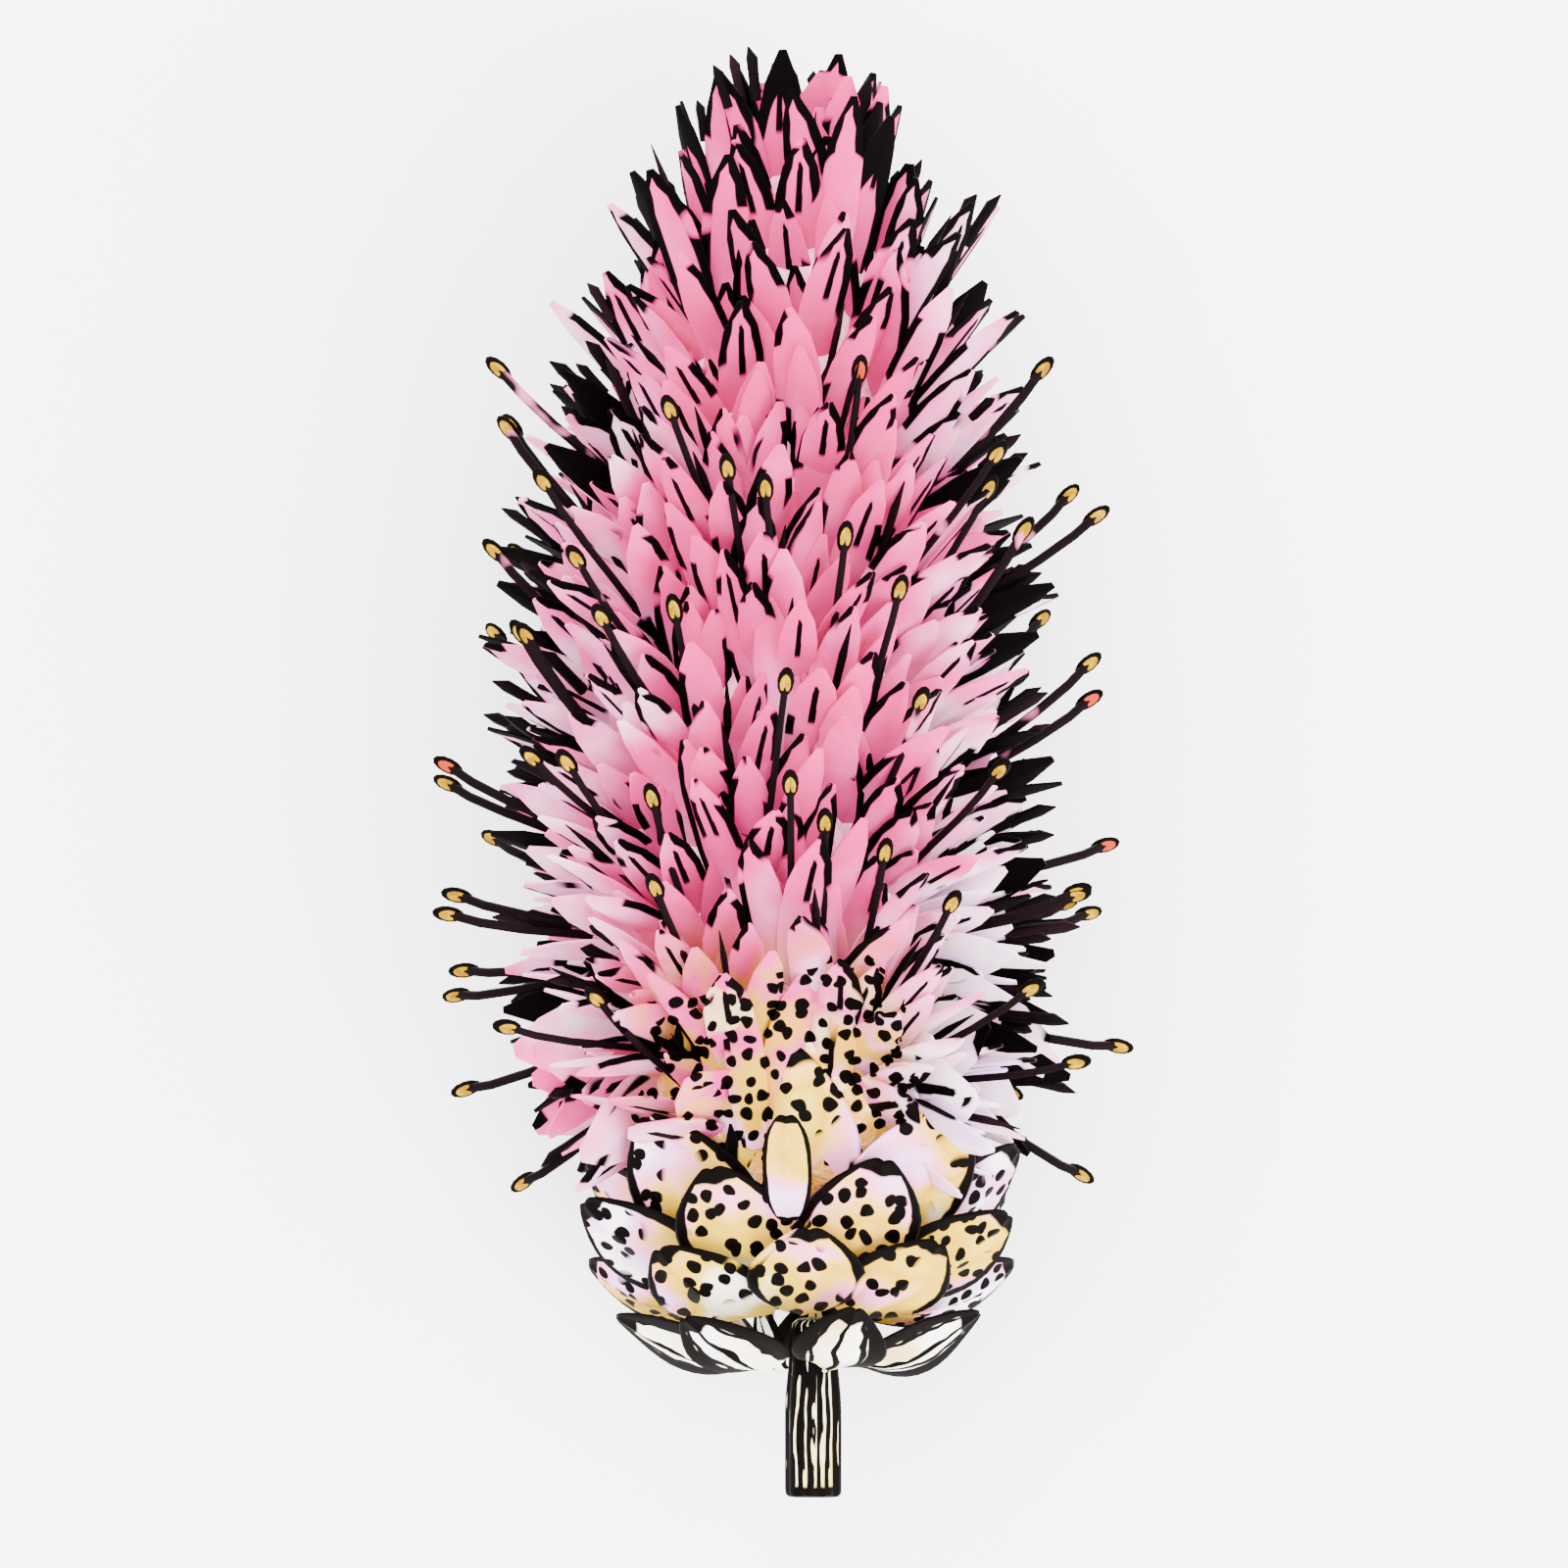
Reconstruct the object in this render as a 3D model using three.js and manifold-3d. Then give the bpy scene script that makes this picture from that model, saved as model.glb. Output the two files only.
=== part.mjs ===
// Pink mulla mulla (Ptilotus exaltatus): one cut flower spike with a short stem, lying on its side.
// Millimetres. +Y runs along the spike, from the stem's cut end to the tip; +Z points up, off the surface.
import * as THREE from "three";
import { mergeVertices } from "three/addons/utils/BufferGeometryUtils.js";
import Module from "manifold-3d";

const wasm = await Module();
wasm.setup();
const { Manifold, Mesh: ManifoldMesh } = wasm;

const DEGREE = Math.PI / 180;
const AXIS = new THREE.Vector3(0, 1, 0);

// Driving dimensions. A station is a distance along the spike from the stem's cut end.
const SPIKE_LENGTH = 104.4;
const AXIS_HEIGHT = 15.4; // of the spike's axis over the surface; the widest florets below are pressed flat
const CENTRE_X = 0.9; // puts the origin under the middle of the whole outline
const STEM_RADIUS = 2.1;
const STEM_RIBS = 9;
const RACHIS_RADIUS = 1.7; // where the stem enters the head
const RACHIS_TIP_RADIUS = 0.8;
const RACHIS_END = 88;
const STEM_STATIONS = [0, 0.5, 4, 8, 10.5, 14, 30, 45, 58, 72, 80, RACHIS_END];
const CLEARANCE = 0.3; // between nodes

// The spike's axis leans a little: [station, x].
const AXIS_LEAN = [[0, 1.3], [8, 1.2], [14, 0.2], [30, -0.6], [45, -0.9], [58, -2], [72, -2], [80, -1.2], [88, 0], [104, 0]];
// Radius of the envelope that the tepal tips reach: [station, radius].
const TIP_RADIUS = [
  [22, 18.4], [26, 19], [32, 18.8], [50, 19], [66, 18.2], [80, 15.6], [89, 11.8], [95, 8.6], [100, 4.6], [104, 0.8],
];
// Angle between a floret and the spike's own direction: [station, degrees].
const FLORET_ANGLE = [[23, 121], [26, 117], [31, 109], [38, 92], [46, 70], [56, 56], [68, 51], [80, 43], [89, 30], [96, 16], [104, 3]];
// The woolly core that the florets stand out of: [radius, station].
const CORE = [[0, 18], [6, 18], [9, 23], [11.6, 30], [13.2, 38], [13.4, 50], [12.4, 64], [10.6, 77], [8, 87], [4.6, 94], [0, 98]];
const CORE_SIDES = 14;

// Florets follow a spiral, one golden angle apart, with an equal share of the envelope each.
const GOLDEN_ANGLE = Math.PI * (3 - Math.sqrt(5));
const FIRST_TURN = 1.18; // radians
const FLORET_SHARE = 116; // square millimetres of the envelope
const FIRST_FLORET = 24.2;
const LAST_FLORET = 103.4;
const BARE_FRONT = 13; // how much further up the florets start on the upper side, over the bracts
const FRONT_TUCK = 2.8; // how far the first ones there are tucked in behind the bracts
const TUCK_REACH = 8;
const FRONT_ANGLE = 38; // most that a floret leans out on the upper side, in degrees
const FLORET_LENGTH = 13;
const TEPALS = 5;
const TEPAL_HALF_WIDTH = 1.7;
const TEPAL_KEEL = 0.8;
const TEPAL_FACING = 0.8; // how far a tepal turns its face outwards from the spike
const CROWN_ROOT = 1.0; // radius of a floret's ring of tepals at its root
const CROWN_TIP = 4.6; // and at the tips

const LAST_STAMEN = 79;
const STAMEN_RADIUS = 0.36;
const STAMEN_REACH = 6.2; // past the tepal tips
const ANTHER_RADIUS = 0.66;
const ANTHER_LENGTH = 2.1;

// Bracts: each tier is a ring of bracts on a collar round the stem.
const SPECKLED_TIERS = [
  { count: 8, station: 15.6, angle: 62, frontAngle: 36, length: 15.8, frontLength: 20.2, halfWidth: 5, bend: 6, cup: 1.3, turn: 0 },
  { count: 8, station: 14.6, angle: 75, frontAngle: 50, length: 14.8, frontLength: 15.5, halfWidth: 4.8, bend: 12, cup: 1.5, turn: 0.5 },
  { count: 8, station: 13.6, angle: 88, frontAngle: 66, length: 12.6, frontLength: 11.5, halfWidth: 4.4, bend: 20, cup: 1.6, turn: 0 },
];
const PAPERY_TIERS = [
  { count: 7, station: 10.4, angle: 92, frontAngle: 84, length: 10.8, frontLength: 9.5, halfWidth: 3.7, bend: 22, cup: 1.2, turn: 0.4 },
  { count: 5, station: 9.4, angle: 50, frontAngle: 50, length: 4.2, frontLength: 4.2, halfWidth: 1.3, bend: 10, cup: 0.5, turn: 0.9 },
];
const BRACT_THICKNESS = 0.75;
const BRACT_ROLL = 35 * DEGREE; // turns the faces of the bracts at the sides upwards
const SPECKLED_COLLAR = { from: 12.2, to: 17.4, radius: 3.8 };
const PAPERY_COLLAR = { from: 8.6, to: 12.6, radius: 3.3 };

// Cups that part the nodes. A wall starts at a station and leans by an angle from the spike's direction, up to
// a rise over its start, both different on the upper side; past the bracts' tips it falls back.
const HEAD_CUP = { station: 14.8, angle: 51, frontAngle: 30, rise: 10, frontRise: 20.8 };
const PAPERY_CUP = { station: 12.3, angle: 84, frontAngle: 74, rise: 1.3, frontRise: 3.4 };
const CUP_RADII = [2.5, 14.5, 17.5, 29]; // of its bottom, its upper side's rim, the bracts' tips and its outer edge
const CUP_SIDES = 24;

// Where the spike rests, what would reach below the surface is bent up along it.
const PRESS_SOFTNESS = 2;
const PRESS_SPREAD = 0.5;

// A repeatable number from 0 to 1 for the piece of that index; each trait reads its own.
function draw(index, trait) {
  const wave = Math.sin(index * 12.9898 + trait * 78.233) * 43758.5453;
  return wave - Math.floor(wave);
}

// The value at a station, on straight lines between a table's rows.
function along(table, station) {
  const last = table.length - 1;
  if (station <= table[0][0]) return table[0][1];
  if (station >= table[last][0]) return table[last][1];
  const next = table.findIndex(([at]) => at > station);
  const [s0, v0] = table[next - 1];
  const [s1, v1] = table[next];
  return v0 + ((v1 - v0) * (station - s0)) / (s1 - s0);
}

// The point at a station, a radius and a turn round the axis; turn 0 is +X and a quarter turn is up.
function spikePoint(station, radius, turn) {
  return new THREE.Vector3(
    along(AXIS_LEAN, station) + CENTRE_X + radius * Math.cos(turn),
    station - SPIKE_LENGTH / 2,
    AXIS_HEIGHT + radius * Math.sin(turn),
  );
}

// The direction that leans out from the axis by an angle, at a turn round it, with two that square it.
function leaning(angle, turn) {
  const out = new THREE.Vector3(Math.cos(turn), 0, Math.sin(turn));
  const d = AXIS.clone().multiplyScalar(Math.cos(angle)).addScaledVector(out, Math.sin(angle));
  const under = AXIS.clone().multiplyScalar(-Math.sin(angle)).addScaledVector(out, Math.cos(angle));
  return { d, under, side: new THREE.Vector3().crossVectors(d, under) };
}

// How squarely a turn faces up, from 0 at the sides and below to 1 on top.
function facingUp(turn) {
  return Math.max(0, Math.sin(turn)) ** 2;
}

// Bends a point up to a level just over the surface, and along it in the direction of d.
function press(point, d, level) {
  const over = point.z - level;
  const lifted = level + (over + Math.hypot(over, PRESS_SOFTNESS)) / 2;
  const flat = new THREE.Vector3(d.x, d.y, 0);
  point.addScaledVector(flat, PRESS_SPREAD * (lifted - point.z));
  point.z = lifted;
  return point;
}

// A closed geometry as a solid that can be joined and cut.
function solidOf(geometry) {
  geometry.deleteAttribute("normal");
  geometry.deleteAttribute("uv");
  const merged = mergeVertices(geometry, 1e-4);
  return new Manifold(
    new ManifoldMesh({
      numProp: 3,
      vertProperties: new Float32Array(merged.attributes.position.array),
      triVerts: new Uint32Array(merged.index.array),
    }),
  );
}

// A pointed solid of a few sides: a cone whose vertices go where place(t, angle) says, t from root to tip.
function spear(sides, rows, place) {
  const cone = new THREE.ConeGeometry(1, 1, sides, rows);
  const position = cone.attributes.position;
  for (let i = 0; i < position.count; i++) {
    const t = position.getY(i) + 0.5;
    const inCap = Math.hypot(position.getX(i), position.getZ(i)) < 1e-6 && t < 0.5;
    const p = place(t, Math.atan2(position.getZ(i), position.getX(i)), inCap);
    position.setXYZ(i, p.x, p.y, p.z);
  }
  return solidOf(cone);
}

// One tepal: a narrow three-sided blade with its keel outwards, widest past its middle.
function tepal(floret, index, k) {
  const turn = ((k + 0.5 * draw(index, 3) + 0.12 * draw(index * TEPALS + k, 4)) * 2 * Math.PI) / TEPALS;
  const q = floret.under.clone().multiplyScalar(Math.cos(turn)).addScaledVector(floret.side, Math.sin(turn));
  const face = q.clone().addScaledVector(floret.under, TEPAL_FACING).normalize();
  const across = new THREE.Vector3().crossVectors(floret.d, face);
  const length = floret.length * (0.92 + 0.14 * draw(index * TEPALS + k, 5));
  const open = floret.open * (0.85 + 0.3 * draw(index * TEPALS + k, 6));
  return spear(3, 2, (t, angle, inCap) => {
    const width = t > 0.9 ? 0 : t > 0.25 ? TEPAL_HALF_WIDTH : 0.75;
    const depth = t > 0.9 ? 0 : TEPAL_KEEL * (t > 0.25 ? 1 : 0.8);
    const reach = t > 0.9 ? 1 : t > 0.25 ? 0.6 : 0.08;
    const p = floret.root.clone().addScaledVector(floret.d, length * reach);
    p.addScaledVector(q, CROWN_ROOT + (open - CROWN_ROOT) * reach ** 1.5);
    if (!inCap) {
      p.addScaledVector(across, (width * Math.cos(angle)) / Math.cos(Math.PI / 6));
      p.addScaledVector(face, (depth * (Math.sin(angle) + 0.5)) / 1.5);
    } else {
      p.addScaledVector(face, depth / 3);
    }
    return press(p, floret.d, -1.3);
  });
}

// One stamen: a thin filament with the anther as a thicker tip.
function stamen(floret, index, k) {
  const swing = 2 * Math.PI * draw(index, 7 + k);
  const d = floret.d.clone().addScaledVector(floret.under, 0.16 * Math.cos(swing)).addScaledVector(floret.side, 0.16 * Math.sin(swing));
  d.normalize();
  const across = new THREE.Vector3().crossVectors(d, AXIS).normalize();
  const other = new THREE.Vector3().crossVectors(across, d);
  const length = floret.length + STAMEN_REACH * (0.75 + 0.45 * draw(index, 9 + k));
  const neck = 1 - ANTHER_LENGTH / length;
  return spear(3, 3, (t, angle, inCap) => {
    const row = Math.round(t * 3);
    const reach = [0.1, neck, 1 - (0.45 * ANTHER_LENGTH) / length, 1][row];
    const radius = inCap ? 0 : [STAMEN_RADIUS, STAMEN_RADIUS, ANTHER_RADIUS, 0][row];
    const p = floret.root.clone().addScaledVector(d, length * reach);
    press(p, d, 0.55);
    return p.addScaledVector(across, radius * Math.cos(angle)).addScaledVector(other, radius * Math.sin(angle));
  });
}

// The florets in their spiral: where each is rooted, where it points and how wide it opens.
function floretPlaces() {
  const places = [];
  let station = FIRST_FLORET;
  for (let index = 0; station < LAST_FLORET; index++) {
    const outer = along(TIP_RADIUS, station);
    station += FLORET_SHARE / (2 * Math.PI * Math.max(outer, 10));
    const turn = FIRST_TURN + index * GOLDEN_ANGLE;
    const up = facingUp(turn);
    if (station < FIRST_FLORET + BARE_FRONT * up) continue;
    const tuck = FRONT_TUCK * up * Math.max(0, 1 - (station - FIRST_FLORET - BARE_FRONT * up) / TUCK_REACH);
    const radius = outer - tuck;
    const side = along(FLORET_ANGLE, station) + 8 * (draw(index, 1) - 0.5);
    const angle = (side + up * (Math.min(side, FRONT_ANGLE) - side)) * DEGREE;
    const frame = leaning(angle, turn);
    const tip = spikePoint(station, radius + 1.4 * (draw(index, 2) - 0.5), turn);
    const length = Math.min(FLORET_LENGTH, (radius + 1) / Math.sin(angle));
    const open = CROWN_TIP * (0.45 + 0.55 * Math.min(1, radius / 15));
    places.push({ ...frame, index, station, length, open, root: tip.addScaledVector(frame.d, -length) });
  }
  return places;
}

// One bract: a cupped, rounded blade that narrows to a claw at its root and curves up along its length.
function bract(tier, ring, k) {
  const turn = ((k + tier.turn) * 2 * Math.PI) / tier.count + 0.1 * (draw(k, tier.station) - 0.5);
  const up = facingUp(turn);
  const lean = tier.angle + up * (tier.frontAngle - tier.angle) + 5 * (draw(k, tier.station + 1) - 0.5);
  const root = spikePoint(tier.station, ring.radius - 1, turn);
  const roll = -BRACT_ROLL * Math.cos(turn);
  const length = (tier.length + up * (tier.frontLength - tier.length)) * (0.94 + 0.12 * draw(k, tier.station + 2));
  return spear(6, 5, (t, swing, inCap) => {
    const reach = 1 - (1 - t) ** 1.6;
    const { d, under, side } = leaning((lean - (tier.bend * reach) / 2) * DEGREE, turn);
    under.applyAxisAngle(d, roll);
    side.applyAxisAngle(d, roll);
    const rounded = Math.sin(Math.PI * reach ** 1.6) ** 0.6;
    const width = inCap || t > 0.99 ? 0 : Math.max(0.9, tier.halfWidth * rounded);
    const thick = inCap || t > 0.99 ? 0 : BRACT_THICKNESS / 2;
    const u = Math.cos(swing);
    const p = root.clone().addScaledVector(d, length * reach);
    p.addScaledVector(under, -tier.cup * u * u * rounded);
    p.addScaledVector(side, width * u).addScaledVector(under, thick * Math.sin(swing));
    return press(p, d, 0.9);
  });
}

// A ring round the stem, with a plain hole for it.
function collar({ from, to, radius }) {
  const hole = rachisRadius(from) + CLEARANCE;
  return onAxis([[hole, from], [radius, from], [radius * 1.04, (from + to) / 2], [radius * 0.86, to], [hole, to], [hole, from]], 14);
}

// A solid of revolution about the leaning axis, from [radius, station] points; reshape may move a station.
function onAxis(profile, sides, reshape = (station) => station) {
  const lathe = new THREE.LatheGeometry(profile.map(([r, station]) => new THREE.Vector2(r, station)), sides);
  const position = lathe.attributes.position;
  for (let i = 0; i < position.count; i++) {
    const x = position.getX(i);
    const z = position.getZ(i);
    const radius = Math.hypot(x, z);
    const turn = Math.atan2(z, x);
    const p = spikePoint(reshape(position.getY(i), radius, turn), radius, turn);
    position.setXYZ(i, p.x, p.y, p.z);
  }
  return solidOf(lathe);
}

function rachisRadius(station) {
  return along([[0, STEM_RADIUS * 0.92], [8, STEM_RADIUS], [10.5, RACHIS_RADIUS], [RACHIS_END, RACHIS_TIP_RADIUS]], station);
}

// The space below a cup's wall, which an offset moves along the spike.
function cupSpace(cup, offset) {
  const [bottom, , tips, edge] = CUP_RADII;
  const wall = CUP_RADII.map((radius) => [radius, 0]).reverse();
  return onAxis([[0, -1], [edge, -1], ...wall, [0, 0]], CUP_SIDES, (level, radius, turn) => {
    if (level < 0) return -1;
    const up = facingUp(turn);
    const angle = (cup.angle + up * (cup.frontAngle - cup.angle)) * DEGREE;
    const rise = cup.rise + up * (cup.frontRise - cup.rise);
    const wallRise = Math.min(rise, Math.max(0, radius - bottom) / Math.tan(angle));
    return cup.station + offset + wallRise - Math.max(0, radius - tips);
  });
}

// The round space that a node leaves for the rachis, from one station to another.
function rachisSpace(from, to) {
  const stations = [from, ...STEM_STATIONS.filter((station) => station > from && station < to), to];
  const wall = stations.map((station) => [rachisRadius(station) + CLEARANCE, station]);
  return onAxis([[0, from], ...wall, [0, to]], 2 * STEM_RIBS);
}

// The ribbed stem, which runs on through the head as its smooth rachis.
function stem() {
  const stations = STEM_STATIONS;
  const rod = new THREE.CylinderGeometry(1, 1, 1, 2 * STEM_RIBS, stations.length - 1);
  const position = rod.attributes.position;
  for (let i = 0; i < position.count; i++) {
    const station = stations[Math.round((position.getY(i) + 0.5) * (stations.length - 1))];
    const turn = Math.atan2(position.getZ(i), position.getX(i));
    const reach = Math.hypot(position.getX(i), position.getZ(i));
    const rib = station > 9 ? 1 : 1 - 0.09 * Math.cos(STEM_RIBS * turn) * (station < 0.4 ? 1.1 : 1);
    const cut = station === 0 ? 0.35 * Math.sin(turn) * reach : 0;
    const p = spikePoint(station + cut + (station === 0 ? 0.35 : 0), rachisRadius(station) * rib * reach, turn);
    position.setXYZ(i, p.x, p.y, p.z);
  }
  return solidOf(rod);
}

// The largest body of a solid; a scrap that its neighbours cut off is dropped.
function mainBody(solid) {
  return solid.decompose().sort((a, b) => b.volume() - a.volume())[0];
}

// What lies above the surface.
function aboveSurface(solid) {
  const depth = 20;
  const slab = new THREE.BoxGeometry(200, 200, depth).translate(0, 0, -depth / 2);
  return solid.subtract(solidOf(slab));
}

function node(name, solid, color, roughness) {
  const made = solid.getMesh();
  const geometry = new THREE.BufferGeometry();
  geometry.setAttribute("position", new THREE.BufferAttribute(new Float32Array(made.vertProperties), 3));
  geometry.setIndex(new THREE.BufferAttribute(new Uint32Array(made.triVerts), 1));
  geometry.computeVertexNormals();
  const mesh = new THREE.Mesh(geometry, new THREE.MeshStandardMaterial({ color, roughness, metalness: 0 }));
  mesh.name = name;
  return mesh;
}

function flowerHead() {
  const core = onAxis(CORE, CORE_SIDES);
  const parts = [core];
  for (const floret of floretPlaces()) {
    for (let k = 0; k < TEPALS; k++) parts.push(tepal(floret, floret.index, k));
    if (floret.station > LAST_STAMEN) continue;
    const stamens = draw(floret.index, 11) > 0.55 ? 2 : 1;
    for (let k = 0; k < stamens; k++) parts.push(stamen(floret, floret.index, k));
  }
  const cuts = [cupSpace(HEAD_CUP, CLEARANCE), rachisSpace(10.5, RACHIS_END + CLEARANCE)];
  return mainBody(aboveSurface(Manifold.union(parts).subtract(Manifold.union(cuts))));
}

function bractRing(tiers, ring, cup) {
  const bracts = tiers.flatMap((tier) => Array.from({ length: tier.count }, (_, k) => bract(tier, ring, k)));
  const ringed = Manifold.union([collar(ring), ...bracts]).intersect(cupSpace(cup, 0));
  return ringed.subtract(rachisSpace(ring.from - 3, ring.to + 3));
}

function speckledBracts() {
  return mainBody(bractRing(SPECKLED_TIERS, SPECKLED_COLLAR, HEAD_CUP).subtract(cupSpace(PAPERY_CUP, CLEARANCE)));
}

const mullaMulla = new THREE.Group();
mullaMulla.name = "pink_mulla_mulla";
mullaMulla.add(
  node("stem_and_rachis", stem(), 0xe7e4c9, 0.7),
  node("pink_flower_head", flowerHead(), 0xeba0b8, 0.6),
  node("speckled_bracts", speckledBracts(), 0xe6cfa0, 0.65),
  node("papery_bracts", mainBody(bractRing(PAPERY_TIERS, PAPERY_COLLAR, PAPERY_CUP)), 0xf6f3ec, 0.55),
);

export default mullaMulla;
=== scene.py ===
import math

import bmesh
import bpy
from mathutils import Matrix, Vector


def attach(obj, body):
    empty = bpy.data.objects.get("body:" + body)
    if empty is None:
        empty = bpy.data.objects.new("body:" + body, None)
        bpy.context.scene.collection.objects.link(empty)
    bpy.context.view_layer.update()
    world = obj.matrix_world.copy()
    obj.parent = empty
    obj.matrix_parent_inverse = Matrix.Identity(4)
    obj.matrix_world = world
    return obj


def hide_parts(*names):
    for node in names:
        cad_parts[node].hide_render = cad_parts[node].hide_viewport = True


# Pink mulla mulla, one cut flower spike that lies on a table and is seen from above.
# +Y runs along the spike to its tip and +Z is up. The layout is in millimetres, as in the part's solids.
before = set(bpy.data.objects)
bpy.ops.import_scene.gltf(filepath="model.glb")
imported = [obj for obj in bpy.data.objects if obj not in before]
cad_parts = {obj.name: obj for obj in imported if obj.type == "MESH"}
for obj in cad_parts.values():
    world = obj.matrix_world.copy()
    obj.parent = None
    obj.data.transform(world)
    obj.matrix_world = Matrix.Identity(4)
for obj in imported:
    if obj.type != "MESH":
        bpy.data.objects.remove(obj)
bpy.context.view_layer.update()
bpy.ops.object.select_all(action="DESELECT")
MM = 0.001

# Camera
# It looks straight down on the spike from about a forearm's length, with the tip at the top of the view.
# The view is 113.6 mm wide at the height of the spike's axis.
VIEW_X = 0.05
VIEW_Y = -0.5
VIEW_WIDTH = 113.6
AXIS_HEIGHT = 15.4
LENS = 100
SENSOR = 36
NEAR_CLIP = 0.01
camera_height = AXIS_HEIGHT + VIEW_WIDTH * LENS / SENSOR
bpy.ops.object.camera_add(location=(VIEW_X * MM, VIEW_Y * MM, camera_height * MM))
camera = bpy.context.object
camera.data.lens = LENS
camera.data.sensor_width = SENSOR
camera.data.clip_start = NEAR_CLIP
bpy.context.scene.camera = camera

# Table
# A plain pale sheet under the spike, 4 m wide, so that it is much larger than the view.
# It is matt white card, with the faint cloudiness of its fibres.
TABLE_SIZE = 4


def linear(hex_colour):
    """An sRGB hex colour as linear red, green, blue and alpha."""
    channels = [int(hex_colour[at : at + 2], 16) / 255 for at in (1, 3, 5)]
    return tuple(c / 12.92 if c <= 0.04045 else ((c + 0.055) / 1.055) ** 2.4 for c in channels) + (1.0,)


def put(tree, kind, inputs, stops=(), **settings):
    """Adds a node with settings; an input takes a value or a node's output, and stops make a ramp."""
    node = tree.nodes.new("ShaderNode" + kind)
    for name, value in settings.items():
        setattr(node, name, value)
    for name, value in inputs.items():
        if isinstance(value, bpy.types.NodeSocket):
            tree.links.new(value, node.inputs[name])
        else:
            node.inputs[name].default_value = value
    for number, (place, colour) in enumerate(stops):
        ramp = node.color_ramp.elements
        stop = ramp[number] if number < 2 else ramp.new(place)
        stop.position = place
        stop.color = linear(colour) if isinstance(colour, str) else (colour, colour, colour, 1)
    return node.outputs


def new_finish(name):
    """A material with an empty node tree; the tree and the surface's output node."""
    finish = bpy.data.materials.new(name)
    finish.use_nodes = True
    finish.node_tree.nodes.clear()
    return finish, finish.node_tree, finish.node_tree.nodes.new("ShaderNodeOutputMaterial")


def cover(piece, finish, output, surface):
    """Ends the material's tree with the surface and covers the piece with it."""
    finish.node_tree.links.new(surface, output.inputs["Surface"])
    piece.data.materials.append(finish)


bpy.ops.mesh.primitive_plane_add(size=TABLE_SIZE)
table = bpy.context.object
table.name = "table"

card, tree, output = new_finish("matt_card")
place = put(tree, "TexCoord", {})["Object"]
fibres = put(tree, "TexNoise", {"Vector": place, "Scale": 25.0, "Detail": 3.0})["Fac"]
shade = put(tree, "ValToRGB", {"Fac": fibres}, stops=[(0, "#fbfafa"), (1, "#ffffff")])["Color"]
surface = put(tree, "BsdfPrincipled", {"Base Color": shade, "Roughness": 0.9})["BSDF"]
cover(table, card, output, surface)

# Studio light
# One broad soft box from the upper left, a weaker one from the lower right, and a pale room all round.
# Each box has its place in metres, turn in degrees, width in metres and power in watts.
SOFT_BOXES = [
    ("soft_box", (-0.25, 0.35, 0.75), (-25, -18, 0), 0.9, 20),
    ("fill_box", (0.5, -0.35, 0.5), (35, 45, 0), 0.7, 18),
]
ROOM_COLOUR = (1, 0.985, 0.98, 1)
ROOM_STRENGTH = 4.6
for name, location, turn, width, power in SOFT_BOXES:
    bpy.ops.object.light_add(type="AREA", location=location, rotation=[math.radians(angle) for angle in turn])
    box = bpy.context.object
    box.name = name
    box.data.size = width
    box.data.energy = power
room = bpy.data.worlds.new("pale_room")
room.use_nodes = True
room.node_tree.nodes["Background"].inputs["Color"].default_value = ROOM_COLOUR
room.node_tree.nodes["Background"].inputs["Strength"].default_value = ROOM_STRENGTH
bpy.context.scene.world = room

# Stem
# The cut stalk of the spike: cream and dull yellow, ribbed lengthways, with dark fibres between its ribs.
# It grew in one piece with the head's axis, whose sway it follows, and was cut a little aslant.
SPIKE_LENGTH = 104.4
CENTRE_X = 0.9
AXIS_LEAN = [
    (0, 1.3), (8, 1.2), (14, 0.2), (30, -0.6), (45, -0.9),
    (58, -2), (72, -2), (80, -1.2), (88, 0), (104, 0),
]
STEM_RADIUS = 2.1
STEM_RIBS = 9
STEM_TOP = 13.0
STEM_RINGS = (0.5, 2.5, 5.0, 7.5, 9.5, 11.0)
GROOVE_HALF_TURN = math.radians(6)
GROOVE_DEPTH = 0.84
CUT_LEAN = math.radians(9)
CUT_HINGE = 0.35
NECK_STATION = 8.5
NECK_WIDTH = 0.86
STEM_CREASE = math.radians(50)
ROW_REACH = 0.01


def along(table_rows, station):
    """The value at a station, on straight lines between a table's rows."""
    if station <= table_rows[0][0]:
        return table_rows[0][1]
    for (s0, v0), (s1, v1) in zip(table_rows, table_rows[1:]):
        if station < s1:
            return v0 + (v1 - v0) * (station - s0) / (s1 - s0)
    return table_rows[-1][1]


def spike_point(station, radius, turn):
    """The point at a station, a radius and a turn round the axis; turn 0 is +X and a quarter turn is up."""
    x = along(AXIS_LEAN, station) + CENTRE_X + radius * math.cos(turn)
    return Vector((x, station - SPIKE_LENGTH / 2, AXIS_HEIGHT + radius * math.sin(turn)))


def begin(name):
    """Names the new primitive, lays its place into its mesh and opens it in edit mode."""
    piece = bpy.context.object
    piece.name = name
    bpy.ops.object.transform_apply(location=True, rotation=True)
    bpy.ops.object.mode_set(mode="EDIT")
    return piece


def pick(piece, rule):
    """Selects the vertices of the piece in edit mode that a rule on their place, in millimetres, chooses."""
    sketch = bmesh.from_edit_mesh(piece.data)
    for vertex in sketch.verts:
        vertex.select = bool(rule(vertex.co / MM))
    sketch.select_flush(True)
    bmesh.update_edit_mesh(piece.data)


def round_off(piece):
    """Rounds the piece's facets with one level of subdivision."""
    rounding = piece.modifiers.new("rounding", "SUBSURF")
    rounding.levels = 1
    rounding.render_levels = 1
    bpy.context.view_layer.objects.active = piece
    bpy.ops.object.modifier_apply(modifier="rounding")


def hand_over(piece, node):
    """The finished piece rides on the part's one body and stands for its CAD node."""
    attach(piece, "root")
    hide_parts(node)


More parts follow.
